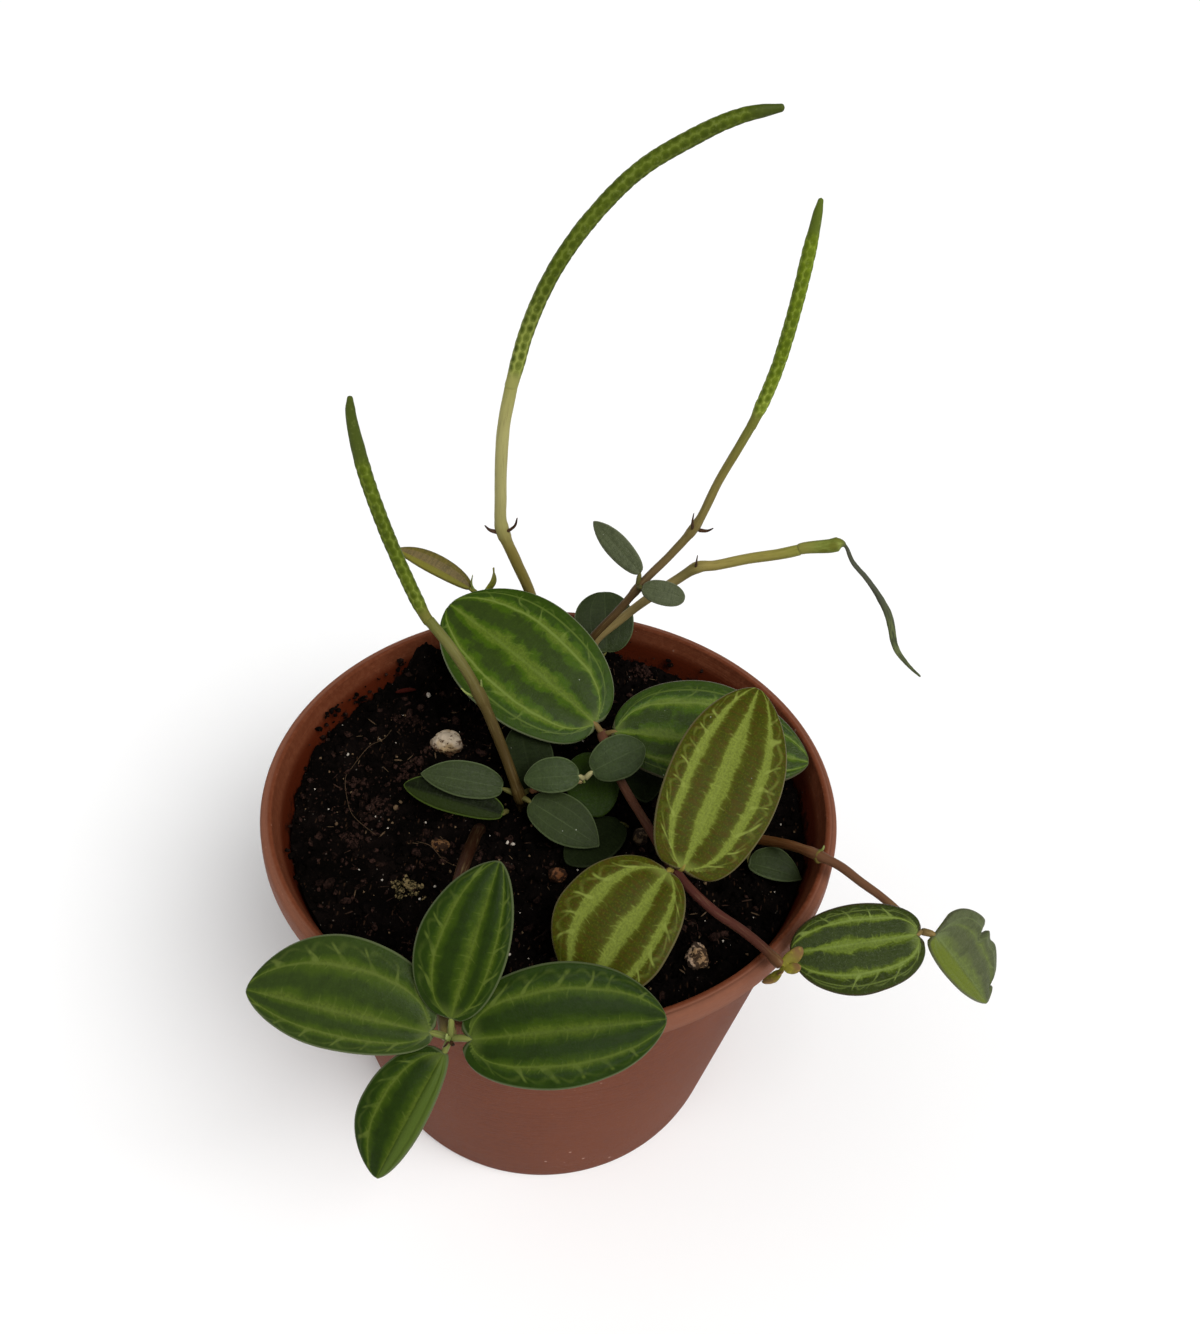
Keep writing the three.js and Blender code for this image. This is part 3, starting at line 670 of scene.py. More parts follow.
# "pits" is how deep and "pitted" how common they are; "buried" is how far peat comes up the grain
plainGrain = {"slot": "brown_grain", "pits": 0.3, "buried": 0}
grains = {
    "grain_pumice": {"at": (-25.7, 17.8, 79), "size": (3.8, 3.2, 2.8), "slot": "pale_grain", "pits": 0.4,
                     "colour": (186, 170, 148), "stain": (62, 38, 20), "pitted": 0.42, "buried": 1.6},
    "grain_porous": {"at": (30.8, -36, 79), "size": (2.2, 2.9, 2.4), "slot": "pale_grain", "pits": 0.45,
                     "colour": (184, 158, 134), "stain": (34, 22, 17), "pitted": 0.52},
    "grain_brown_left": {"at": (-23, -12, 77.6), "size": (2.2, 1.8, 1.5), "colour": (104, 76, 50),
                         "stain": (26, 15, 9), "pitted": 0.53},
    "grain_orange_front": {"at": (2.5, -17.5, 77.6), "size": (2, 1.7, 1.7), "colour": (116, 76, 50),
                           "stain": (34, 20, 13), "pitted": 0.55},
    "grain_tan_right": {"at": (19.5, -5.5, 77.8), "size": (1.6, 2.1, 1.7), "colour": (104, 88, 70),
                        "stain": (30, 20, 15), "pitted": 0.54},
}


def makeGrainStone(node, grain):
    skin = Skin(pieceName(node) + "Stone")
    place, middle, pitted = skin.place(), grain["at"][2], grain["pitted"]
    pits = place.cloud(900, 3, 0.6)
    broad = place.cloud(260)
    level = place.split()[2] * 1000
    holes = (pits - level.step(middle + 1.5, middle - 0.5) * 0.09).step(pitted + 0.03, pitted - 0.05)
    covered = middle + grain["buried"]
    foot = (level + broad * 4).step(covered + 2, covered + 0.4)
    red, green, blue = grain["colour"]
    dim = (red * 0.86, green * 0.8, blue * 0.68)
    coats = (broad.step(0.4, 0.62), dim), (foot * 0.8, grain["stain"]), (holes * 0.9, grain["stain"])
    return skin.finish(paint(grain["colour"], *coats), 0.88, 0.1, pits, 0.0006, 0.9)


def makeGrain(node, grain):
    shape = startShape()
    lump = bmesh.ops.create_icosphere(shape, subdivisions=5, radius=1)
    at, size = Vector(grain["at"]), Vector(grain["size"])
    for vert in lump["verts"]:
        x, y, z = vert.co
        wear = 1 + 0.12 * math.sin(4 * x + 3 * y) * math.cos(3 * z + at.x)
        spot = vert.co * size
        rough = 0.08 * noise.fractal(spot / 1.3 + Vector((at.x, at.x, 0)), 1.0, 2.1, 3)
        pit = grain["pits"] * 0.22 * smoothStep(waver(spot, 0.75, at.y), 0.1, 0.5)
        vert.co = at + spot * (wear - 0.02 + rough - pit)
    finishPiece(shape, node, grain["slot"], makeGrainStone(node, grain))


for node, grain in grains.items():
    makeGrain(node, {**plainGrain, **grain})
print("grains made")


# Stems

# Radii at the foot and the tip; for each bract its kind, foot, tip and half width; and the colours by
# the share of the way along
stems = {
    "stem_left": {
        "slot": "olive_stem", "radii": (1.15, 1.15),
        "points": [(-6.5, 1.5, 72), (-7, 0.5, 80), (-7, -2, 84), (-11.5, 3, 94), (-17, 8, 104.5),
                   (-22.5, 12, 111.5), (-28.2, 14.9, 117.5)],
        "bracts": [("sprout", (-16.2, 7.4, 103.4), (-16.2, 8.2, 107.4), 0.5),
                   ("sprout", (-16.6, 7.2, 103.2), (-20.4, 7.6, 105.2), 0.35)],
        "colours": {0: (58, 44, 18), 0.3: (62, 48, 20), 0.5: (68, 55, 27), 0.62: (78, 66, 33),
                    0.76: (93, 87, 45), 0.86: (100, 98, 52), 1: (92, 94, 40)}},
    "stem_tall": {
        "slot": "olive_stem", "radii": (1.2, 1.36),
        "points": [(-2, 42, 72), (-3, 41, 84), (-5.5, 40, 94), (-9.4, 41.4, 107), (-12.4, 40, 116),
                   (-15.6, 40, 124.8), (-15.8, 40.6, 132), (-15.7, 41, 139.5), (-15.2, 42, 148),
                   (-13.6, 43.2, 157.2)],
        "bracts": [("dry", (-16.2, 39.4, 123.6), (-19.2, 38.8, 125.6), 0.55),
                   ("dry", (-14.4, 39.4, 123.8), (-12, 39, 128), 0.55)],
        "colours": {0: (96, 72, 40), 0.3: (104, 92, 44), 0.56: (110, 98, 47), 0.63: (140, 134, 80),
                    0.72: (156, 150, 98), 0.88: (156, 151, 96), 0.95: (150, 146, 88),
                    1: (140, 138, 76)}},
    "stem_right": {
        "slot": "olive_stem", "radii": (0.88, 1.0),
        "points": [(1, 37, 72), (1.2, 36.5, 84), (2.4, 36.4, 91.5), (6, 37, 98), (12, 39, 105.5),
                   (17.3, 41, 112.8), (22.7, 43, 119), (27.5, 44, 126.5), (31.2, 46, 136.5),
                   (34.4, 47, 144), (36.9, 48, 149.8)],
        "bracts": [("dry", (26.8, 43.4, 125.2), (26.4, 42.6, 130.2), 0.5),
                   ("dry", (27.8, 43.6, 125.2), (31.2, 42.6, 126.6), 0.5)],
        "colours": {0: (64, 46, 20), 0.28: (68, 51, 24), 0.45: (76, 58, 36), 0.55: (96, 78, 50),
                    0.66: (108, 94, 54), 0.86: (114, 104, 52), 1: (100, 102, 42)}},
    "stem_withered": {
        "slot": "olive_stem", "radii": (0.92, 1.28),
        "points": [(5, 41, 72), (5, 41, 84), (6.6, 41, 93.5), (12.4, 43, 99.4), (17.4, 44, 104.2),
                   (24.9, 45, 110.7), (29.2, 45, 114.4), (33, 45, 115.2), (40.1, 45, 117.6),
                   (47.2, 44, 120.2), (52, 43.6, 122.2)],
        "bracts": [("dry", (28.8, 44.6, 114.2), (28.6, 44, 118.4), 0.45)],
        "colours": {0: (136, 116, 76), 0.35: (142, 124, 78), 0.56: (142, 126, 80), 0.65: (112, 102, 58),
                    0.72: (137, 124, 67), 0.9: (136, 128, 62), 1: (124, 124, 54)}},
    "stem_runner": {
        "slot": "red_stem", "radii": (1, 0.9),
        "points": [(12, 20, 72), (12, 18, 82), (9.8, 12.5, 90), (14.3, 1.5, 87.6), (20.5, -13.6, 89.6),
                   (25, -26, 92.6), (28, -30.6, 92.8), (32.8, -35.6, 92.6), (37.2, -38.6, 92.2),
                   (40.8, -41.6, 91.8), (44.4, -45.4, 91.4)],
        "bracts": [("young", (44, -45.4, 91.6), (47.6, -42.8, 94), 1.3),
                   ("young", (44.4, -45.6, 91.2), (47.4, -45.6, 92.4), 1),
                   ("young", (44, -46, 91.4), (40.6, -49.6, 92.2), 1.35),
                   ("young", (44.2, -45.6, 92), (43.2, -48.4, 93.4), 0.7)],
        "colours": {0: (84, 52, 36), 0.35: (92, 60, 44), 0.55: (74, 42, 32), 0.67: (62, 31, 25),
                    0.8: (75, 39, 33), 0.95: (70, 38, 28), 1: (96, 66, 40)}},
    "stem_outer_right": {
        "slot": "red_stem", "radii": (1.25, 0.75),
        "points": [(37, -2, 72), (39, -4, 78), (45.5, -10.1, 84.5), (50.2, -15.2, 89), (54, -19.4, 91.6),
                   (57.5, -21.9, 92), (61.1, -25.5, 92), (64.1, -28.3, 92), (66.2, -30.7, 92),
                   (70.6, -35.6, 91.4)],
        "bracts": [("collar", (53.2, -18.5, 91), (54.8, -20, 91.7), 1.5),
                   ("sprout", (53.6, -18.6, 91.8), (54.4, -18.8, 94.2), 0.6)],
        "colours": {0: (80, 48, 22), 0.35: (96, 60, 28), 0.52: (104, 66, 38), 0.6: (98, 66, 46),
                    0.85: (104, 72, 50), 1: (112, 96, 50)}},
    "stem_front": {
        "slot": "red_stem", "radii": (1.35, 1.2),
        "points": [(-15, -3, 72), (-15.3, -6, 77), (-15.6, -14, 81.6), (-15.8, -24, 86.4), (-15.8, -36, 90),
                   (-15.4, -47, 91), (-14.8, -56, 91), (-13, -61.6, 91.6), (-11.8, -64.2, 92.4)],
        "bracts": [("sprout", (-11.8, -64.2, 92.2), (-12.2, -64.8, 94.8), 0.55),
                   ("dry", (-11.8, -64.6, 92.2), (-10.8, -66, 93.6), 0.4),
                   ("dry", (-12, -64.6, 92.2), (-12.6, -66.2, 93), 0.35)],
        # painted shade: the colours darken to near black at the foot, which runs in shade under the leaves
        "colours": {0: (20, 9, 4), 0.3: (40, 20, 10), 0.5: (56, 31, 19), 0.65: (64, 41, 30),
                    0.85: (84, 54, 40), 1: (106, 96, 52)}},
    "stem_rear_shoot": {
        "slot": "olive_stem", "radii": (1, 0.8),
        "points": [(-17, 40, 72), (-18, 42.5, 82), (-20.5, 45, 93), (-22, 46, 101.6)],
        "bracts": [("bud", (-21, 45.8, 101.4), (-18.2, 45.6, 110), 1.0),
                   ("sprout", (-22.2, 46, 101), (-23.2, 46, 107.2), 0.42)],
        "colours": {0: (100, 74, 40), 0.7: (120, 106, 52), 1: (124, 124, 50)}},
    "stem_side_shoot": {
        "slot": "red_stem", "radii": (0.75, 0.7),
        "points": [(-5, -0.6, 84), (-3, -0.6, 85.4), (1.2, -0.6, 87.8), (6.6, -1, 89.4)],
        "bracts": [("sprout", (6.4, -1, 89.2), (6.8, -2.8, 90.6), 0.4)],
        "colours": {0: (112, 74, 50), 0.8: (140, 104, 74), 1: (168, 150, 104)}},
}
jointSwell = {"amount": 0.2, "width": 1.7, "reach": 2.2}
streakColours = {"dark": (62, 38, 24), "light": (186, 168, 116), "fleck": (64, 40, 28)}

# Colours of a bract and of its tip
bractLooks = {
    "dry": ((62, 42, 26), (44, 28, 20)), "sprout": ((104, 116, 54), (128, 136, 80)),
    "young": ((104, 98, 28), (108, 80, 48)), "bud": ((112, 116, 32), (122, 118, 66)),
    "collar": ((104, 88, 42), (112, 104, 50)),
}
bractHook = 0.13


def makeStemSkin(name, colours):
    skin = Skin(name)
    along, share = skin.layers("tubePlace", "share")
    tints = share.feed("ValToRGB", {})
    points = tints.node.color_ramp.elements
    while len(points) < len(colours):
        points.new(0.5)
    for point, (place, colour) in zip(points, colours.items()):
        point.position = place
        point.color = linearColour(colour)
    streaks = along.stretch((3, 3, 0.16)).cloud(1, 4, 0.65)
    flecks = along.stretch((1.6, 1.6, 0.9)).cells(1.4)
    colour = paint(
        tints,
        (streaks.step(0.5, 0.75) * 0.3, streakColours["dark"]),
        (streaks.step(0.48, 0.25) * 0.16, streakColours["light"]),
        (flecks.step(0.14, 0.05) * 0.4, streakColours["fleck"]),
    )
    return skin.finish(colour, 0.42, 0.07, streaks + skin.place().cloud(1800, 2) * 0.4, 0.00022, 0.5)


def makeBractSkin(name):
    skin = Skin(name + "BractSkin")
    colour, tip = bractLooks[name]
    [share] = skin.layers("share")
    grain = skin.place().cloud(1600)
    coats = (share.step(0.3, 0.9), tip), (grain.step(0.5, 0.7) * 0.4, tint(colour, 1.4))
    return skin.finish(paint(colour, *coats), 0.6, 0.12, grain, 0.0002, 0.5)


bractSkins = [makeBractSkin(name) for name in bractLooks]


# Dry bracts and sprouts are hooked spines, young leaves folded buds and a collar a ring round a stem
def addBract(shape, kind, at, to, wide):
    start, end = Vector(at), Vector(to)
    away = (end - start).cross(Vector((0, 0, 1))).cross(end - start).normalized()
    middle = start.lerp(end, 0.55) - away * (end - start).length * (0 if kind == "collar" else bractHook)

    def radiusAt(share, distance, angle):
        if kind == "collar":
            return wide * (1 - 0.06 * math.cos(3 * angle))
        if kind == "young":
            return wide * (0.3 + 0.7 * math.sin(math.pi * share) ** 0.7)
        if kind == "bud":
            return wide * (0.25 + 0.75 * math.sin(math.pi * min(1.0, share * 1.2)))
        return mix(wide, 0.12, share ** 1.4)

    flat = {"collar": 1.0, "young": 0.34}.get(kind, 0.6)
    number = 1 + list(bractLooks).index(kind)
    addTube(shape, (start, middle, end), radiusAt, 0.25, 12, number, lambda share: flat)


# Leaves

# "lateral" and "marginal" are where those veins lie across each half, "halos" how wide the pale
# stripes along the centre and the lateral veins are, and a notch has its place, depth and width.
stripedShape = {
    "heel": 2, "point": 1.5, "foot": 0.3, "lobe": 1, "arch": 2, "rows": 64, "columns": 48,
    "lateral": 0.6, "marginal": 0.94, "uneven": 0.5, "bulge": 0.22, "wave": 0.25, "thick": 0.9,
    "petiole": (0.75, 0.6), "foldedSide": 0, "notches": (), "halos": (0.23, 0.2), "look": "green",
}
plainShape = {
    **stripedShape, "heel": 2.2, "foot": 0.1, "lobe": 0.2, "arch": 1, "rows": 36, "columns": 28,
    "lateral": 0.5, "marginal": 0.9, "bulge": 0.05, "wave": 0.08, "thick": 0.85,
    "petiole": (0.65, 0.5), "halos": (0, 0), "look": "plain",
}
foldAngle = math.radians(8)
bladeCurl = 0.12

# Leaves by the joint that they grow from. Heading and rise give the direction from base to tip, and
# roll turns the face about that line. left and right are the half widths; widest is where along the
# blade they lie. Whatever differs from the usual shape stands last.
leafFields = ("base", "heading", "rise", "roll", "length", "left", "right", "widest")
stripedLeaves = {
    (10, 12.5, 90): {
        "leaf_rear_striped": ((8, 13.4, 92.4), 148, 18, -22, 43.5, 14.6, 15.8, 0.5, dict(
            point=1.7, foot=0.2, halos=(0.2, 0.15))),
        "leaf_right_rear_striped": ((12.4, 11.6, 92), -2, -5, 24, 43.5, 14.8, 10.4, 0.44, dict(
            foot=0.1, lobe=0.6, look="glossy", halos=(0.21, 0.18)))},
    (25, -26, 92.6): {
        "leaf_right_olive": ((26.4, -27.4, 94.2), 67, 26, 18, 40.5, 10.6, 12, 0.48, dict(
            heel=2.4, foot=0.25, lobe=0.5, look="olive", halos=(0.25, 0.18), uneven=0.25)),
        "leaf_lower_olive": ((23.8, -28, 94.2), -126, -27, -14, 28, 9, 14, 0.54, dict(
            foot=0.15, lobe=0.2, look="olive", halos=(0.21, 0.18), uneven=0.3))},
    (70.6, -35.6, 91.4): {
        "leaf_outer_striped": ((69.4, -37.4, 92.8), -171, -8, -34, 23.5, 9, 7, 0.5, dict(
            point=2, arch=1.2, look="silvery", halos=(0.2, 0.14))),
        "leaf_outer_torn": ((73, -36.2, 91.6), -18, -47, 31, 19.8, 10, 3.6, 0.34, dict(
            heel=2.6, point=1.25, lobe=0.2, arch=0.8, look="torn", halos=(0.24, 0.05), foldedSide=-1,
            notches=((0.4, 0.26, 0.035), (0.52, 0.1, 0.06), (0.87, 0.45, 0.03))))},
    (-11.8, -64.2, 92.4): {
        "leaf_front_left": ((-15, -64, 93.4), 172, 3, -35, 31.5, 6, 12.2, 0.5, dict(
            foot=0.15, lobe=0.6, arch=1.4, petiole=(0.6, 0.5), look="front", halos=(0.14, 0.12))),
        "leaf_front_right": ((-8.4, -64.6, 93.2), 11, 0, 35, 32.5, 11, 9, 0.46, dict(
            foot=0.25, lobe=1.4, arch=1.4, petiole=(0.6, 0.5), look="deep", halos=(0.14, 0.12))),
        "leaf_front_up": ((-11.8, -62.6, 95.4), 72, 44, 12, 26.5, 9.4, 6, 0.42, dict(
            foot=0.1, lobe=0, arch=1.2, petiole=(0.6, 0.5), look="deep", halos=(0.15, 0.12))),
        "leaf_front_down": ((-12.6, -65.6, 90.6), -123, -41, -17, 22.6, 3, 8.4, 0.5, dict(
            foot=0.1, lobe=0, petiole=(0.6, 0.5), look="deep", halos=(0.12, 0.12), foldedSide=1))},
}
plainLeaves = {
    (-9.6, -2, 79): {
        "leaf_left_low": ((-10.4, -4.6, 80.8), 174, 12, -38, 22, 3, 4.5, 0.55, dict(
            look="shaded", foldedSide=1))},
    (-7, -2, 84): {
        "leaf_left_upper": ((-10.8, -1.2, 85.2), -179, 10, -34, 17.6, 3.6, 4.4, 0.45, dict(point=1.25)),
        "leaf_centre_low": ((-4.4, -3.9, 84.4), -27, -12, 26, 17.4, 5.8, 4.6, 0.45, dict(
            arch=0.6, point=1.15)),
        "leaf_centre_rear": ((-4.4, 2.2, 82.2), 113, 39, -8, 14.5, 5, 6, 0.5, dict(look="dark"))},
    (12, 18.4, 80): {
        "leaf_centre_bright": ((8.2, 11.6, 85), -84, -15, 0, 16, 5.4, 6.8, 0.46, dict(
            point=1.9, look="bright"))},
    (17, -1.4, 75.6): {
        "leaf_on_soil": ((15, -3, 79), -133, -3, -6, 16, 5.4, 4.8, 0.55, dict(arch=0.6, look="dark"))},
    (12, 18, 81): {
        "leaf_under_right": ((18, 13, 82.6), -80, -4, -6, 12.5, 4.6, 4.6, 0.5, dict(look="dark"))},
    (6.6, -1, 89.4): {
        "leaf_pair_left": ((5.4, -1.4, 90.8), -173, -5, -35, 11.6, 3.4, 4.4, 0.45, dict(look="pair")),
        "leaf_pair_right": ((8.2, 0, 91), 28, 14, 32, 12.6, 5, 4.6, 0.5, dict(look="pair"))},
    (42, -7, 81): {
        "leaf_outer_right_small": ((41.8, -14.2, 81.6), -9, -9, 24, 11.4, 4.8, 2.2, 0.42, dict(point=1.05))},
    (5, 41, 84): {
        "leaf_rear_round": ((9.6, 45, 87.4), 98, 40, -3, 15.4, 7.7, 7.1, 0.52, dict(heel=2.4, point=2))},
    (15.6, 40.3, 110.8): {
        "leaf_right_stem_upper": ((15.8, 40.6, 114.8), 144, 28, -44, 16, 2.7, 2.9, 0.48, dict(
            point=1.3, look="pale")),
        "leaf_right_stem_lower": ((16.6, 37.6, 112.6), -2, -11, 44, 10, 2.8, 3, 0.5, dict(
            point=2, look="pale"))},
    (-22, 46, 101.4): {
        "leaf_rear_left_brown": ((-24, 46, 103.2), 168, 21, -22, 19.6, 2, 3.6, 0.5, dict(
            point=1.4, foldedSide=1, look="withering"))},
}
leaves = [
    {**usual, **dict(zip(leafFields, values)), **changes, "node": node, "joint": joint}
    for usual, rows in ((stripedShape, stripedLeaves), (plainShape, plainLeaves))
    for joint, group in rows.items()
    for node, (*values, changes) in group.items()
]


# Half width of the blade as a share of its greatest, from base (0) to tip (1)
def outlineShare(leaf, share):
    widest = leaf["widest"]
    if share < widest:
        rise = (1 - (1 - share / widest) ** 2) ** (1 / leaf["heel"])
        return leaf["foot"] + (1 - leaf["foot"]) * rise
    return max(0.0, 1 - ((share - widest) / (1 - widest)) ** 2) ** (1 / leaf["point"])


def halfWidth(leaf, share, across):
    return (leaf["left"] if across > 0 else leaf["right"]) * outlineShare(leaf, share)


def bladeAxes(leaf):
    along = Vector((1, 0, 0))
    along.rotate(Matrix.Rotation(-math.radians(leaf["rise"]), 3, "Y"))
    along.rotate(Matrix.Rotation(math.radians(leaf["heading"]), 3, "Z"))
    side = Vector((0, 0, 1)).cross(along).normalized()
    side.rotate(Matrix.Rotation(math.radians(leaf["roll"]), 3, along))
    return along, side, along.cross(side)


# Veins lie at 0, 1 and 2 across each half; the margin is a little past 2
def veinAcross(leaf, share, across):
    lateral, marginal = leaf["lateral"], leaf["marginal"]
    gather = 1 - math.exp(-share / 0.045)  # veins run together at the petiole
    width = abs(across) / max(gather, 0.25)
    if width < lateral:
        place = width / lateral
    elif width < marginal:
        place = 1 + (width - lateral) / (marginal - lateral)
    else:
        place = 2 + (width - marginal) / (marginal - lateral)
    return math.copysign(place, across)


def bladeSpot(leaf, axes, share, across, lift=0.0):
    along, side, up = axes
    half, edge = max(halfWidth(leaf, share, across), 0.02), abs(across)
    seed = leaf["length"] + leaf["heading"]
    reach = edge * half * (1 + 0.02 * waver((share * 4, edge, 0), 1, seed + math.copysign(3, across)))
    for place, depth, width in leaf["notches"]:  # tears in the left half's edge
        reach *= 1 - depth * math.exp(-(((share - place) / width) ** 2)) * smoothStep(across, 0.2, 1.0)
    sweep = leaf["lobe"] * math.sin(0.75 * math.pi * edge) * (1 - share) ** 4
    spot = Vector(leaf["base"]) + along * (leaf["length"] * share - sweep)
    spot += side * math.copysign(reach * math.cos(foldAngle), across)
    arch = leaf["arch"] * 4 * share * (1 - share)
    cup = reach * math.sin(foldAngle) - bladeCurl * half * across ** 2
    fading = smoothStep(share, 0, 0.15) * smoothStep(1 - share, 0, 0.2) * smoothStep(1 - edge, 0, 0.2)
    veins = min(abs(veinAcross(leaf, share, across)), 2.0)
    pillow = leaf["bulge"] * fading * (0.5 - 0.5 * math.cos(math.tau * veins))
    wave = leaf["wave"] * edge ** 2 * waver((share * 3.2, math.copysign(1, across), 0), 1, seed)
    return spot + up * (arch + cup + lift + pillow + wave)


def addBlade(shape, leaf):
    axes, length = bladeAxes(leaf), leaf["length"]
    place, vein, under, tones = layersOf(shape, "bladePlace", "veinPlace", "under", "tone")
    seed = length + leaf["heading"]
    for face in (1, -1):
        grid = bmesh.ops.create_grid(shape, x_segments=leaf["rows"], y_segments=leaf["columns"], size=1)
        for vert in grid["verts"]:
            step = (vert.co.x + 1) / 2
            share = mix(step, 0.5 - 0.5 * math.cos(math.pi * step), 0.6)
            across = math.sin(vert.co.y * math.pi / 2)
            half = halfWidth(leaf, share, across)
            fromEdge = min(half * (1 - abs(across)), length * share + 0.02, length * (1 - share))
            rounding = math.sqrt(max(0.0, 1 - (1 - min(1.0, fromEdge / 0.6)) ** 2))
            if abs(across) > 0.9999 or share < 1e-4 or share > 0.9999:
                rounding = 0
            vert.co = bladeSpot(leaf, axes, share, across, face * leaf["thick"] / 2 * rounding)
            veins = veinAcross(leaf, share, across)
            vert[place] = (length * share, half * across, seed)
            vert[vein] = (veins, haloWidth(leaf, share, veins, seed), fromEdge)
            vert[under] = 0.0 if face > 0 else 1.0
            # marks the folded-over half, which gets its own colour and painted light
            vert[tones] = smoothStep(across * leaf["foldedSide"], 0.02, 0.2)
    bmesh.ops.remove_doubles(shape, verts=shape.verts, dist=1e-4)


# How far the pale stripe reaches to each side of its vein, as a share of the space between veins
def haloWidth(leaf, share, veins, seed):
    centre, lateral = leaf["halos"]
    place = abs(veins)
    outward = mix(0.75, 1.35, smoothStep(place, 0.9, 1.1))  # wider towards the margin
    width = mix(centre, lateral * outward, smoothStep(place, 0.42, 0.58)) * smoothStep(1.6 - place, 0, 0.1)
    side = math.copysign(1, veins) if place > 0.02 else 0
    uneven = 1 + leaf["uneven"] * waver((share * 5, round(place) * 4 + side, 0), 1, seed)
    return width * (0.5 + 0.65 * math.sin(math.pi * share ** 0.85)) * uneven


def addPetiole(shape, leaf):
    axes = bladeAxes(leaf)
    start = Vector(leaf["joint"])
    base = bladeSpot(leaf, axes, 0.01, 0) - axes[2] * 0.15
    into = bladeSpot(leaf, axes, 0.07, 0) - axes[2] * 0.2
    middle = start.lerp(base, 0.5) + Vector((0, 0, 0.15))

    def radiusAt(share, distance, angle):
        return mix(*leaf["petiole"], share) * (1 - 0.8 * smoothStep(share, 0.5, 1))

    addTube(shape, (start, middle, base, into), radiusAt, 0.35, 14, 1)


# A look that differs from another in its first few tones and in whatever else is named
def variant(look, *tones, **changes):
    names = ("band", "outer", "middle", "stripe", "line", "margin")
    return {**look, **dict(zip(names, tones)), **changes}


# "soft" is how far a stripe fades into its band, "fray" and "feather" how ragged its edge is,
# "lines" how plain the centre and lateral veins are and "spacing" how far apart the veinlets leave
# them, in millimetres
striped = variant(
    {}, (43, 58, 14), (43, 64, 8), (56, 80, 6), (82, 100, 26), (100, 116, 50), (106, 112, 84),
    slot="striped_leaf", back=(84, 96, 50), lit=(70, 86, 32), petiole=(116, 96, 56), fleck=(34, 46, 12),
    soft=0.12, fray=0.42, feather=0.14, lines=(0.3, 0.8), veinlets=0.5, loops=0.4, spacing=6.5, edgeLine=0.45,
    wrinkle=0.3, speckle=0.3, veinWide=1.0, waver=1.4, gloss=0.36, shine=0.07)
plain = variant(
    striped, (48, 58, 30), (46, 56, 28), (51, 61, 31), (53, 63, 33), (78, 90, 56), (90, 102, 68),
    slot="plain_leaf", back=(34, 44, 16), lit=(62, 76, 28), petiole=(84, 82, 42), fleck=(36, 45, 22),
    soft=0.1, fray=0.1, lines=(0.4, 0.2), veinlets=0.0, edgeLine=0, speckle=0.35, wrinkle=0.8, gloss=0.38,
    shine=0.09)
front = variant(
    striped, (42, 56, 18), (42, 57, 15), (55, 72, 15), (74, 88, 27), (86, 98, 42), (90, 98, 66),
    back=(66, 80, 34), petiole=(106, 112, 56), soft=0.16, fray=0.24, lines=(0.25, 0.4), veinlets=0.7,
    loops=0.35, spacing=4.6, edgeLine=0, veinWide=1.7, waver=0.8)
# painted shade: a darker copy of the plain look, for small leaves that lie in shade under the others;
# "shaded" is darker still
dark = variant(
    plain, (24, 31, 14), (25, 32, 14), (26, 32, 13), (28, 34, 14), (40, 46, 26), (50, 58, 36),
    back=(16, 22, 7), speckle=0.5, shine=0.015)
leafLooks = {
    "green": striped,
    "glossy": variant(
        striped, (47, 62, 18), (42, 62, 10), (61, 86, 8), (87, 106, 30), margin=(90, 82, 66),
        lines=(0.3, 0.6), shine=0.12, wrinkle=1.0, gloss=0.3),
    "olive": variant(
        striped, (56, 60, 10), (56, 60, 10), (70, 74, 18), (110, 121, 46), (120, 131, 58), (98, 90, 62),
        slot="olive_leaf", back=(92, 74, 54), petiole=(116, 104, 44), fleck=(66, 52, 14), soft=0.09,
        fray=0.13, feather=0.24, lines=(0.15, 0.2), veinlets=0.85, loops=0.35, spacing=4.4, edgeLine=0,
        speckle=1.4, veinWide=1.6, waver=1.0, shine=0.03),
    "silvery": variant(
        striped, (48, 58, 24), (41, 51, 4), (67, 81, 18), (94, 110, 36), (110, 125, 58), (54, 44, 28),
        soft=0.08, wrinkle=1.4, veinlets=0.8, lines=(0.4, 0.5), spacing=4.6, gloss=0.3, shine=0.08),
    "torn": variant(
        striped, (73, 79, 50), (78, 85, 54), (82, 91, 50), (92, 104, 52), (98, 110, 66), (78, 80, 56),
        back=(90, 102, 36), lit=(92, 104, 28), lines=(0.3, 0.1), wrinkle=0.8, shine=0.1),
    "front": front,
    "plain": plain,
    "pale": variant(
        plain, (72, 78, 53), (72, 78, 53), (74, 80, 54), (76, 82, 56), (90, 96, 70), (92, 96, 72)),
    "bright": variant(
        plain, (36, 54, 5), (35, 53, 5), (39, 58, 7), (41, 61, 9), (50, 68, 18), (52, 68, 26),
        slot="bright_leaf", back=(32, 50, 10)),
    "dark": dark,
    "withering": variant(
        plain, (104, 90, 56), (94, 84, 34), (106, 92, 56), (112, 96, 60), (118, 104, 64), (78, 72, 30),
        slot="brown_leaf", back=(86, 90, 28), petiole=(106, 106, 42), lit=(112, 108, 36)),
    "deep": variant(
        front, (29, 44, 8), (31, 48, 7), (46, 63, 9), (68, 83, 21), (80, 93, 36), (82, 90, 60), shine=0.04),
    "pair": variant(plain, (52, 64, 34), (50, 62, 33), petiole=(146, 140, 98)),
    "shaded": variant(dark, (15, 21, 5), (19, 27, 6), lit=(34, 44, 12), margin=(80, 98, 40), shine=0.04),
}
lichenColour = (196, 200, 182)  # tiny pale dots


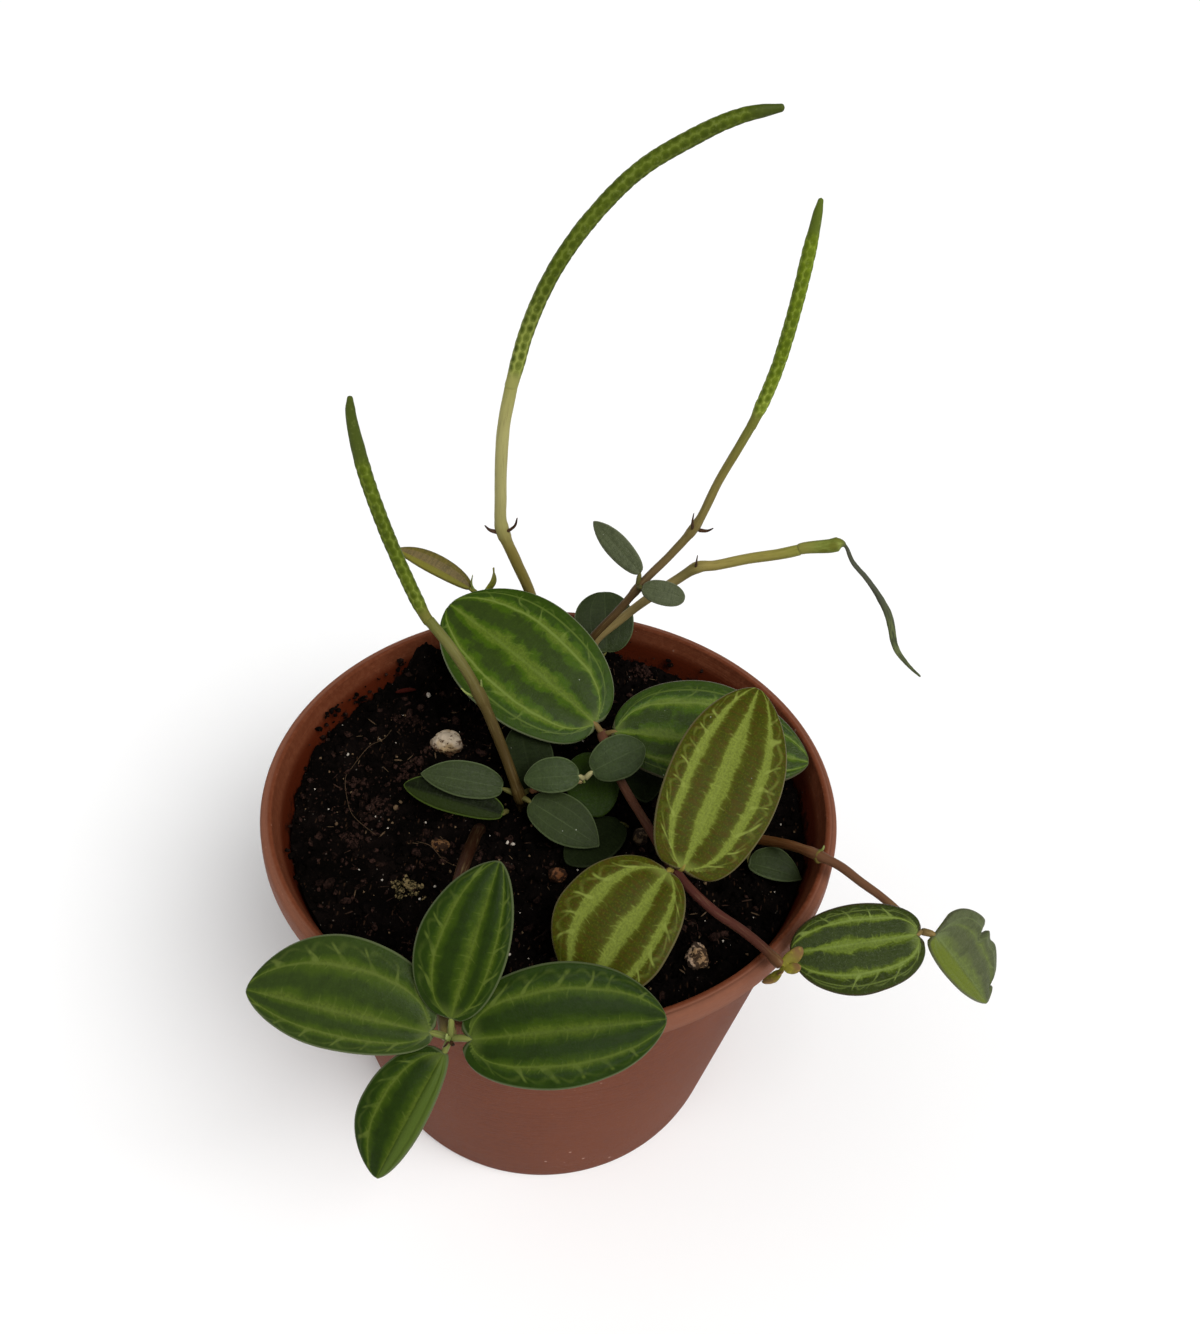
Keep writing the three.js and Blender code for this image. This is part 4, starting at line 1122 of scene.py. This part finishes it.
# Veinlets leave a lateral vein, lean towards the tip and join in arcs before the margin
def veinletShare(look, place, veins, halo, fromVein):
    across, wide = abs(veins), look["veinWide"]
    wobble = (place.cloud(0.2, 0) - 0.5) * look["waver"]
    steps = place.split()[0] * (1 / look["spacing"]) + veins.calc("LESS_THAN", 0) * 0.45 + wobble
    outward = across - 1
    fromSpoke = (outward * -0.5 + steps).calc("PINGPONG", 0.5)
    zone = outward.step(0, 0.06) * outward.step(0.92, 0.66)
    spoke = (fromSpoke - outward.step(0.45, 0.1) * 0.05).step(0.06 * wide, 0.01) * zone
    fromLoop = abs(outward - (fromSpoke.step(0, 0.45) * 0.3 + 0.5))
    loop = fromLoop.step(0.1 * wide, 0.01) * look["loops"]
    fork = (outward * 0.7 + steps * 2).calc("PINGPONG", 0.5)
    twig = fork.step(0.08, 0.01) * (fromVein - halo).step(0.2, 0.04) * (outward.step(0.5, 0.3) * 0.5)
    patchy = place.cloud(0.42, 2).step(0.4, 0.56)
    veinlet = spoke.calc("MAXIMUM", loop).calc("MAXIMUM", twig * patchy) * (patchy * 0.6 + 0.4)
    edgeLine = abs(across - 1.62).step(0.07, 0.01) * look["edgeLine"]
    return (veinlet * look["veinlets"]).calc("MAXIMUM", edgeLine)


def makeLeafSkin(name):
    skin, look = Skin(name + "LeafSkin"), leafLooks[name]
    place, veinPlace, under, folded = skin.layers("bladePlace", "veinPlace", "under", "tone")
    veins, halo, fromEdge = veinPlace.split()
    under, across = under.step(0.3, 0.7), abs(veins)
    broad, middling = place.cloud(0.16), place.cloud(0.5, 4, 0.6)
    fine, mottled = place.cloud(2.4, 4, 0.65), place.cloud(0.3)
    strokes = place.stretch((2.2, 0.45, 1)).cloud(1, 3, 0.6)  # run out from the veins
    # veins waver a little, and each pale stripe has a ragged edge that fades into the band
    fromVein = (across + (broad - 0.5) * 0.16).calc("PINGPONG", 0.5)
    ragged = (middling - 0.5) * look["fray"]
    reach = fromVein + (ragged + (strokes - 0.5) * look["feather"]) - halo
    hasStripe = halo.step(0.01, 0.06)
    fading = (reach + (mottled - 0.5) * (look["fray"] * 1.4)).step(look["soft"] * 1.7, 0) * hasStripe
    stripe = reach.step(look["soft"] * 0.35, -look["soft"] * 0.8) * hasStripe
    centre, lateral = look["lines"]
    plainness = (across.step(0.4, 0.6) * (lateral - centre) + centre) * across.step(1.6, 1.4)
    line = fromVein.step(0.06, 0.012) * plainness
    foot = place.split()[0].step(3, 0.4) * 0.6 * hasStripe
    dots = place.cells(0.42).step(0.06, 0.03) * mottled.step(0.58, 0.64)
    band, pale, back = look["band"], look["stripe"], look["back"]
    colour = paint(
        band,
        ((across + ragged).step(0.98, 1.16), look["outer"]),  # livelier towards the edge
        (middling.step(0.42, 0.7) * 0.35, tint(band, 0.72)),
        (fine.step(0.48, 0.7) * (look["speckle"] * 0.5), tint(band, 1.45)),
        (strokes.step(0.46, 0.6) * (0.1 + 0.4 * look["speckle"]), look["fleck"]),
        (fading * 0.85, look["middle"]),
        (stripe, paint(pale, (fine.step(0.35, 0.65), tint(pale, 0.84)))),
        (veinletShare(look, place, veins, halo, fromVein), look["line"]),
        (line, look["line"]),
        # the folded-over part of the blade: partly the colour of its turned face, partly painted light where
        # it faces up
        (folded * 0.85, look["lit"]),
        (foot, look["line"]),
        (fromEdge.step(0.45, 0.16) * 0.75, look["margin"]),
        (dots * 0.8, lichenColour),
        # the back of the blade is paler, with its veins just showing
        (under, paint(back, (line * 0.5, tint(back, 1.2)), (middling * 0.4, tint(back, 0.7)))),
    )
    roughness = stripe.calc("MAXIMUM", under) * 0.14 + look["gloss"]
    wrinkles = place.stretch((0.9, 1.3, 1)).cloud(1.5, 2, 0.6, 1.2)
    relief = wrinkles * (stripe * -0.7 + 1) * look["wrinkle"] + fine * 0.25
    return skin.finish(colour, roughness, look["shine"], relief, 0.0005, 0.5)


def makePetioleSkin(name):
    colour = leafLooks[name]["petiole"]
    return makeStemSkin(name + "PetioleSkin", {0: tint(colour, 0.85), 0.5: colour, 1: tint(colour, 1.15)})


leafSkins = {name: (makeLeafSkin(name), makePetioleSkin(name)) for name in leafLooks}
for leaf in leaves:
    shape = startShape()
    addBlade(shape, leaf)
    addPetiole(shape, leaf)
    finishPiece(shape, leaf["node"], leafLooks[leaf["look"]]["slot"], *leafSkins[leaf["look"]])
print("leaves made")


# Stems grow a little thicker where a leaf or bract joins
def makeStem(node, stem):
    joints = [Vector(leaf["joint"]) for leaf in leaves] + [Vector(bract[1]) for bract in stem["bracts"]]
    walk = walkPath(stem["points"], 0.5)
    marks = []
    for joint in joints:
        nearest = min(walk, key=lambda spot: (spot[0] - joint).length)
        if (nearest[0] - joint).length < jointSwell["reach"]:
            marks.append(nearest[4])
    seed = stem["points"][0][0]

    def radiusAt(share, distance, angle):
        swell = sum(math.exp(-((distance - mark) / jointSwell["width"]) ** 2) for mark in marks)
        uneven = 0.04 * waver((distance, 0, math.cos(angle)), 4.0, seed)
        return mix(*stem["radii"], share) * (1 + jointSwell["amount"] * min(1.0, swell) + uneven)

    shape = startShape()
    addTube(shape, stem["points"], radiusAt, 0.5, 20)
    for bract in stem["bracts"]:
        addBract(shape, *bract)
    skin = makeStemSkin(pieceName(node) + "Skin", stem["colours"])
    finishPiece(shape, node, stem["slot"], skin, *bractSkins)


for node, stem in stems.items():
    makeStem(node, stem)
print("stems made")


# Flower spikes

spikes = {
    "spike_left": {
        "radii": (1.35, 0.8), "bareTip": 0.74, "light": 1.06, "foot": (100, 98, 42), "footRadius": 1.16,
        "paleFoot": 0.3, "relief": 0.12,
        "points": [(-27.2, 14.5, 115.8), (-28.7, 15.1, 118.2), (-32.2, 16.6, 126), (-36.5, 19, 136.8),
                   (-39.9, 21, 148.4), (-41.4, 22, 158.3), (-41.2, 22, 162)]},
    "spike_tall": {
        "radii": (1.46, 1.05), "bareTip": 0.93, "light": 1.0, "foot": (138, 137, 76), "footRadius": 1.34,
        "paleFoot": 1.0, "relief": 0.08,
        "points": [(-14.1, 42.8, 155.2), (-13.4, 43.4, 157.8), (-10.7, 46, 167.7), (-6.2, 48, 178),
                   (0.1, 50, 187.3), (9, 52, 196.5), (18.8, 53.4, 202.6), (26.6, 54.4, 206.2),
                   (34.4, 55, 208)]},
    "spike_right": {
        "radii": (1.3, 0.8), "bareTip": 0.86, "light": 1.3, "foot": (102, 102, 42), "footRadius": 1.06,
        "paleFoot": 0.4, "relief": 0.13,
        "points": [(36.2, 47.8, 148), (37.1, 48.1, 150.4), (40.1, 50, 160.4), (42.2, 52, 174.3),
                   (43.4, 54, 187.7), (43.8, 55, 193.2)]},
}
floretShape = {
    "columns": 6, "pitch": 1.95, "size": 0.5, "long": 0.72, "groove": 0.07, "step": 0.2, "sides": 42,
    "fullShare": 0.8,
}
floretColours = {
    "ground": (72, 85, 13), "patch": (64, 76, 10), "net": (98, 110, 38), "dot": (56, 68, 4),
    "heart": (46, 58, 3), "tip": (60, 70, 20), "pale": (134, 142, 66),
}
pollenColour = (140, 150, 84)


# Millimetres from the middle of the nearest floret; florets stand in staggered columns
def fromFloret(distance, angle, radius):
    columns, pitch = floretShape["columns"], floretShape["pitch"]
    column = angle / math.tau * columns
    gaps = []
    for number in (math.floor(column), math.floor(column) + 1):
        start = 0.5 * pitch * (number % 2)
        row = round((distance - start) / pitch)
        start += 0.4 * waver((number % columns, row, 0), 0.37)
        sideways = (column - number) / columns * math.tau * radius
        sideways += 0.2 * waver((row, 3 * number % columns, 5), 0.41)
        endways = distance - start - pitch * round((distance - start) / pitch)
        gaps.append(math.hypot(sideways, endways * floretShape["long"]))
    return min(gaps)


def makeSpikeSkin(node, spike):
    look = {name: tint(colour, spike["light"]) for name, colour in floretColours.items()}
    skin = Skin(pieceName(node) + "Skin")
    along, floret, bare, foot, share = skin.layers("tubePlace", "floret", "tone", "under", "share")
    grain = skin.place().cloud(1400, 3, 0.6)
    patchy = along.stretch((0.6, 0.6, 0.25)).cloud(1)
    away = floret + (grain - 0.5) * 0.25
    ring = away.step(0.62, 0.78) * away.step(1.05, 0.9)
    low = share.step(0.34, 0.06) * spike["paleFoot"]
    colour = paint(
        look["ground"],
        (patchy.step(0.4, 0.65), look["patch"]),
        (ring * 0.6, look["net"]),
        (low * (ring * 0.55 + 0.4), look["pale"]),  # paler near the foot
        (away.step(0.56, 0.3) * patchy.step(0.25, 0.6) * 0.9, look["dot"]),
        (away.step(0.2, 0.08) * 0.4, look["heart"]),
        (bare, look["tip"]),
        (foot, spike["foot"]),
        (grain.step(0.55, 0.75) * 0.2, pollenColour),
    )
    return skin.finish(colour, 0.5, 0.08, grain, 0.0002, 0.6)


def makeSpike(node, spike):
    shape, full, tip = startShape(), floretShape["fullShare"], spike["bareTip"]
    length = walkPath(spike["points"], floretShape["step"])[-1][4]

    def plainRadius(share):
        return mix(*spike["radii"], max(0.0, (share - full) / (1 - full)))

    def radiusAt(share, distance, angle):
        radius = mix(spike["footRadius"], plainRadius(share), smoothStep(distance, 2.2, 6.5))
        away = fromFloret(distance, angle, radius)
        dome = math.sqrt(max(0.0, 1 - (away / (floretShape["size"] * 1.5)) ** 2))
        ridge = spike["relief"] * dome - floretShape["groove"] * smoothStep(away, 0.6, 1.0)
        uneven = 0.05 * waver((distance, math.cos(angle), math.sin(angle)), 3.0, length)
        bareness = max(smoothStep(share, tip - 0.03, tip + 0.03), smoothStep(5.6 - distance, 0, 2.6))
        return (radius + ridge * (1 - bareness) + uneven) * (1 - 0.35 * smoothStep(share, 0.94, 1.0))

    addTube(shape, spike["points"], radiusAt, floretShape["step"], floretShape["sides"])
    place, shares, floret, bare, foot = layersOf(shape, "tubePlace", "share", "floret", "tone", "under")
    for vert in shape.verts:
        x, y, distance = vert[place]
        vert[floret] = fromFloret(distance, math.atan2(y, x) % math.tau, plainRadius(vert[shares]))
        vert[bare] = smoothStep(vert[shares], tip - 0.03, tip + 0.03)
        vert[foot] = smoothStep(5.4 - distance, 0, 3)
    finishPiece(shape, node, "spike", makeSpikeSkin(node, spike))


for node, spike in spikes.items():
    makeSpike(node, spike)


# The withered spike: a swollen green end, then a dried twisted ribbon that hangs from it
witheredSpike = {
    "points": [(50.3, 43.7, 121.7), (52.5, 43.5, 122.6), (57.4, 43, 123.8), (60.4, 42.8, 124.6),
               (62.9, 41, 121.3), (66.4, 39, 118.4), (69.4, 37, 115.4), (71.9, 34, 112.2),
               (74.5, 31, 105.7), (77.6, 29, 102.7), (80.5, 27, 101.1)],
    "foot": 1.26, "swollen": 1.66, "swollenShare": 0.2, "drawnIn": 26, "thread": 0.27, "threadMiddle": 0.8,
    "green": (96, 104, 32), "light": (116, 124, 50), "spot": (92, 92, 16), "footColour": (124, 122, 54),
    "dry": (52, 58, 36), "dryLight": (92, 100, 58), "neck": (64, 66, 50),
}


def witheredRadius(share, distance, angle):
    spike = witheredSpike
    if share < spike["swollenShare"]:
        return mix(spike["foot"], spike["swollen"], share / spike["swollenShare"])
    along = (share - spike["swollenShare"]) / (1 - spike["swollenShare"])
    thread = mix(spike["thread"], spike["threadMiddle"], math.sin(math.pi * along))
    crease = 1 + 0.16 * math.cos(2 * angle + 9 * along) + 0.1 * waver((distance, angle, 0), 1.4)
    return max(thread * crease, spike["swollen"] - spike["drawnIn"] * along)


def makeWitheredSkin():
    skin, spike = Skin("witheredSkin"), witheredSpike
    along, share = skin.layers("tubePlace", "share")
    creases = along.stretch((1.6, 1.6, 0.3)).cloud(1, 4, 0.7)
    spots = along.stretch((0.7, 0.7, 0.4)).cells(0.9)
    green = paint(
        spike["green"],
        (creases.step(0.4, 0.65), spike["light"]),
        (spots.step(0.5, 0.2) * 0.6, spike["spot"]),
        (((creases - 0.5) * 0.08 + share).step(0.13, 0.04), spike["footColour"]),
    )
    dry = paint(spike["dry"], (creases.step(0.38, 0.62), spike["dryLight"]))
    dry = paint(spike["neck"], (share.step(0.5, 0.75), dry))
    return skin.finish(paint(green, (share.step(0.21, 0.25), dry)), 0.62, 0.2, creases, 0.0004, 0.8)


def makeWitheredSpike():
    shape = startShape()
    addTube(
        shape, witheredSpike["points"], witheredRadius, step=0.3, sides=20,
        flatness=lambda share: mix(1, 0.5, smoothStep(share, 0.22, 0.3)),
    )
    finishPiece(shape, "spike_withered", "withered_spike", makeWitheredSkin())


makeWitheredSpike()
print("spikes made")
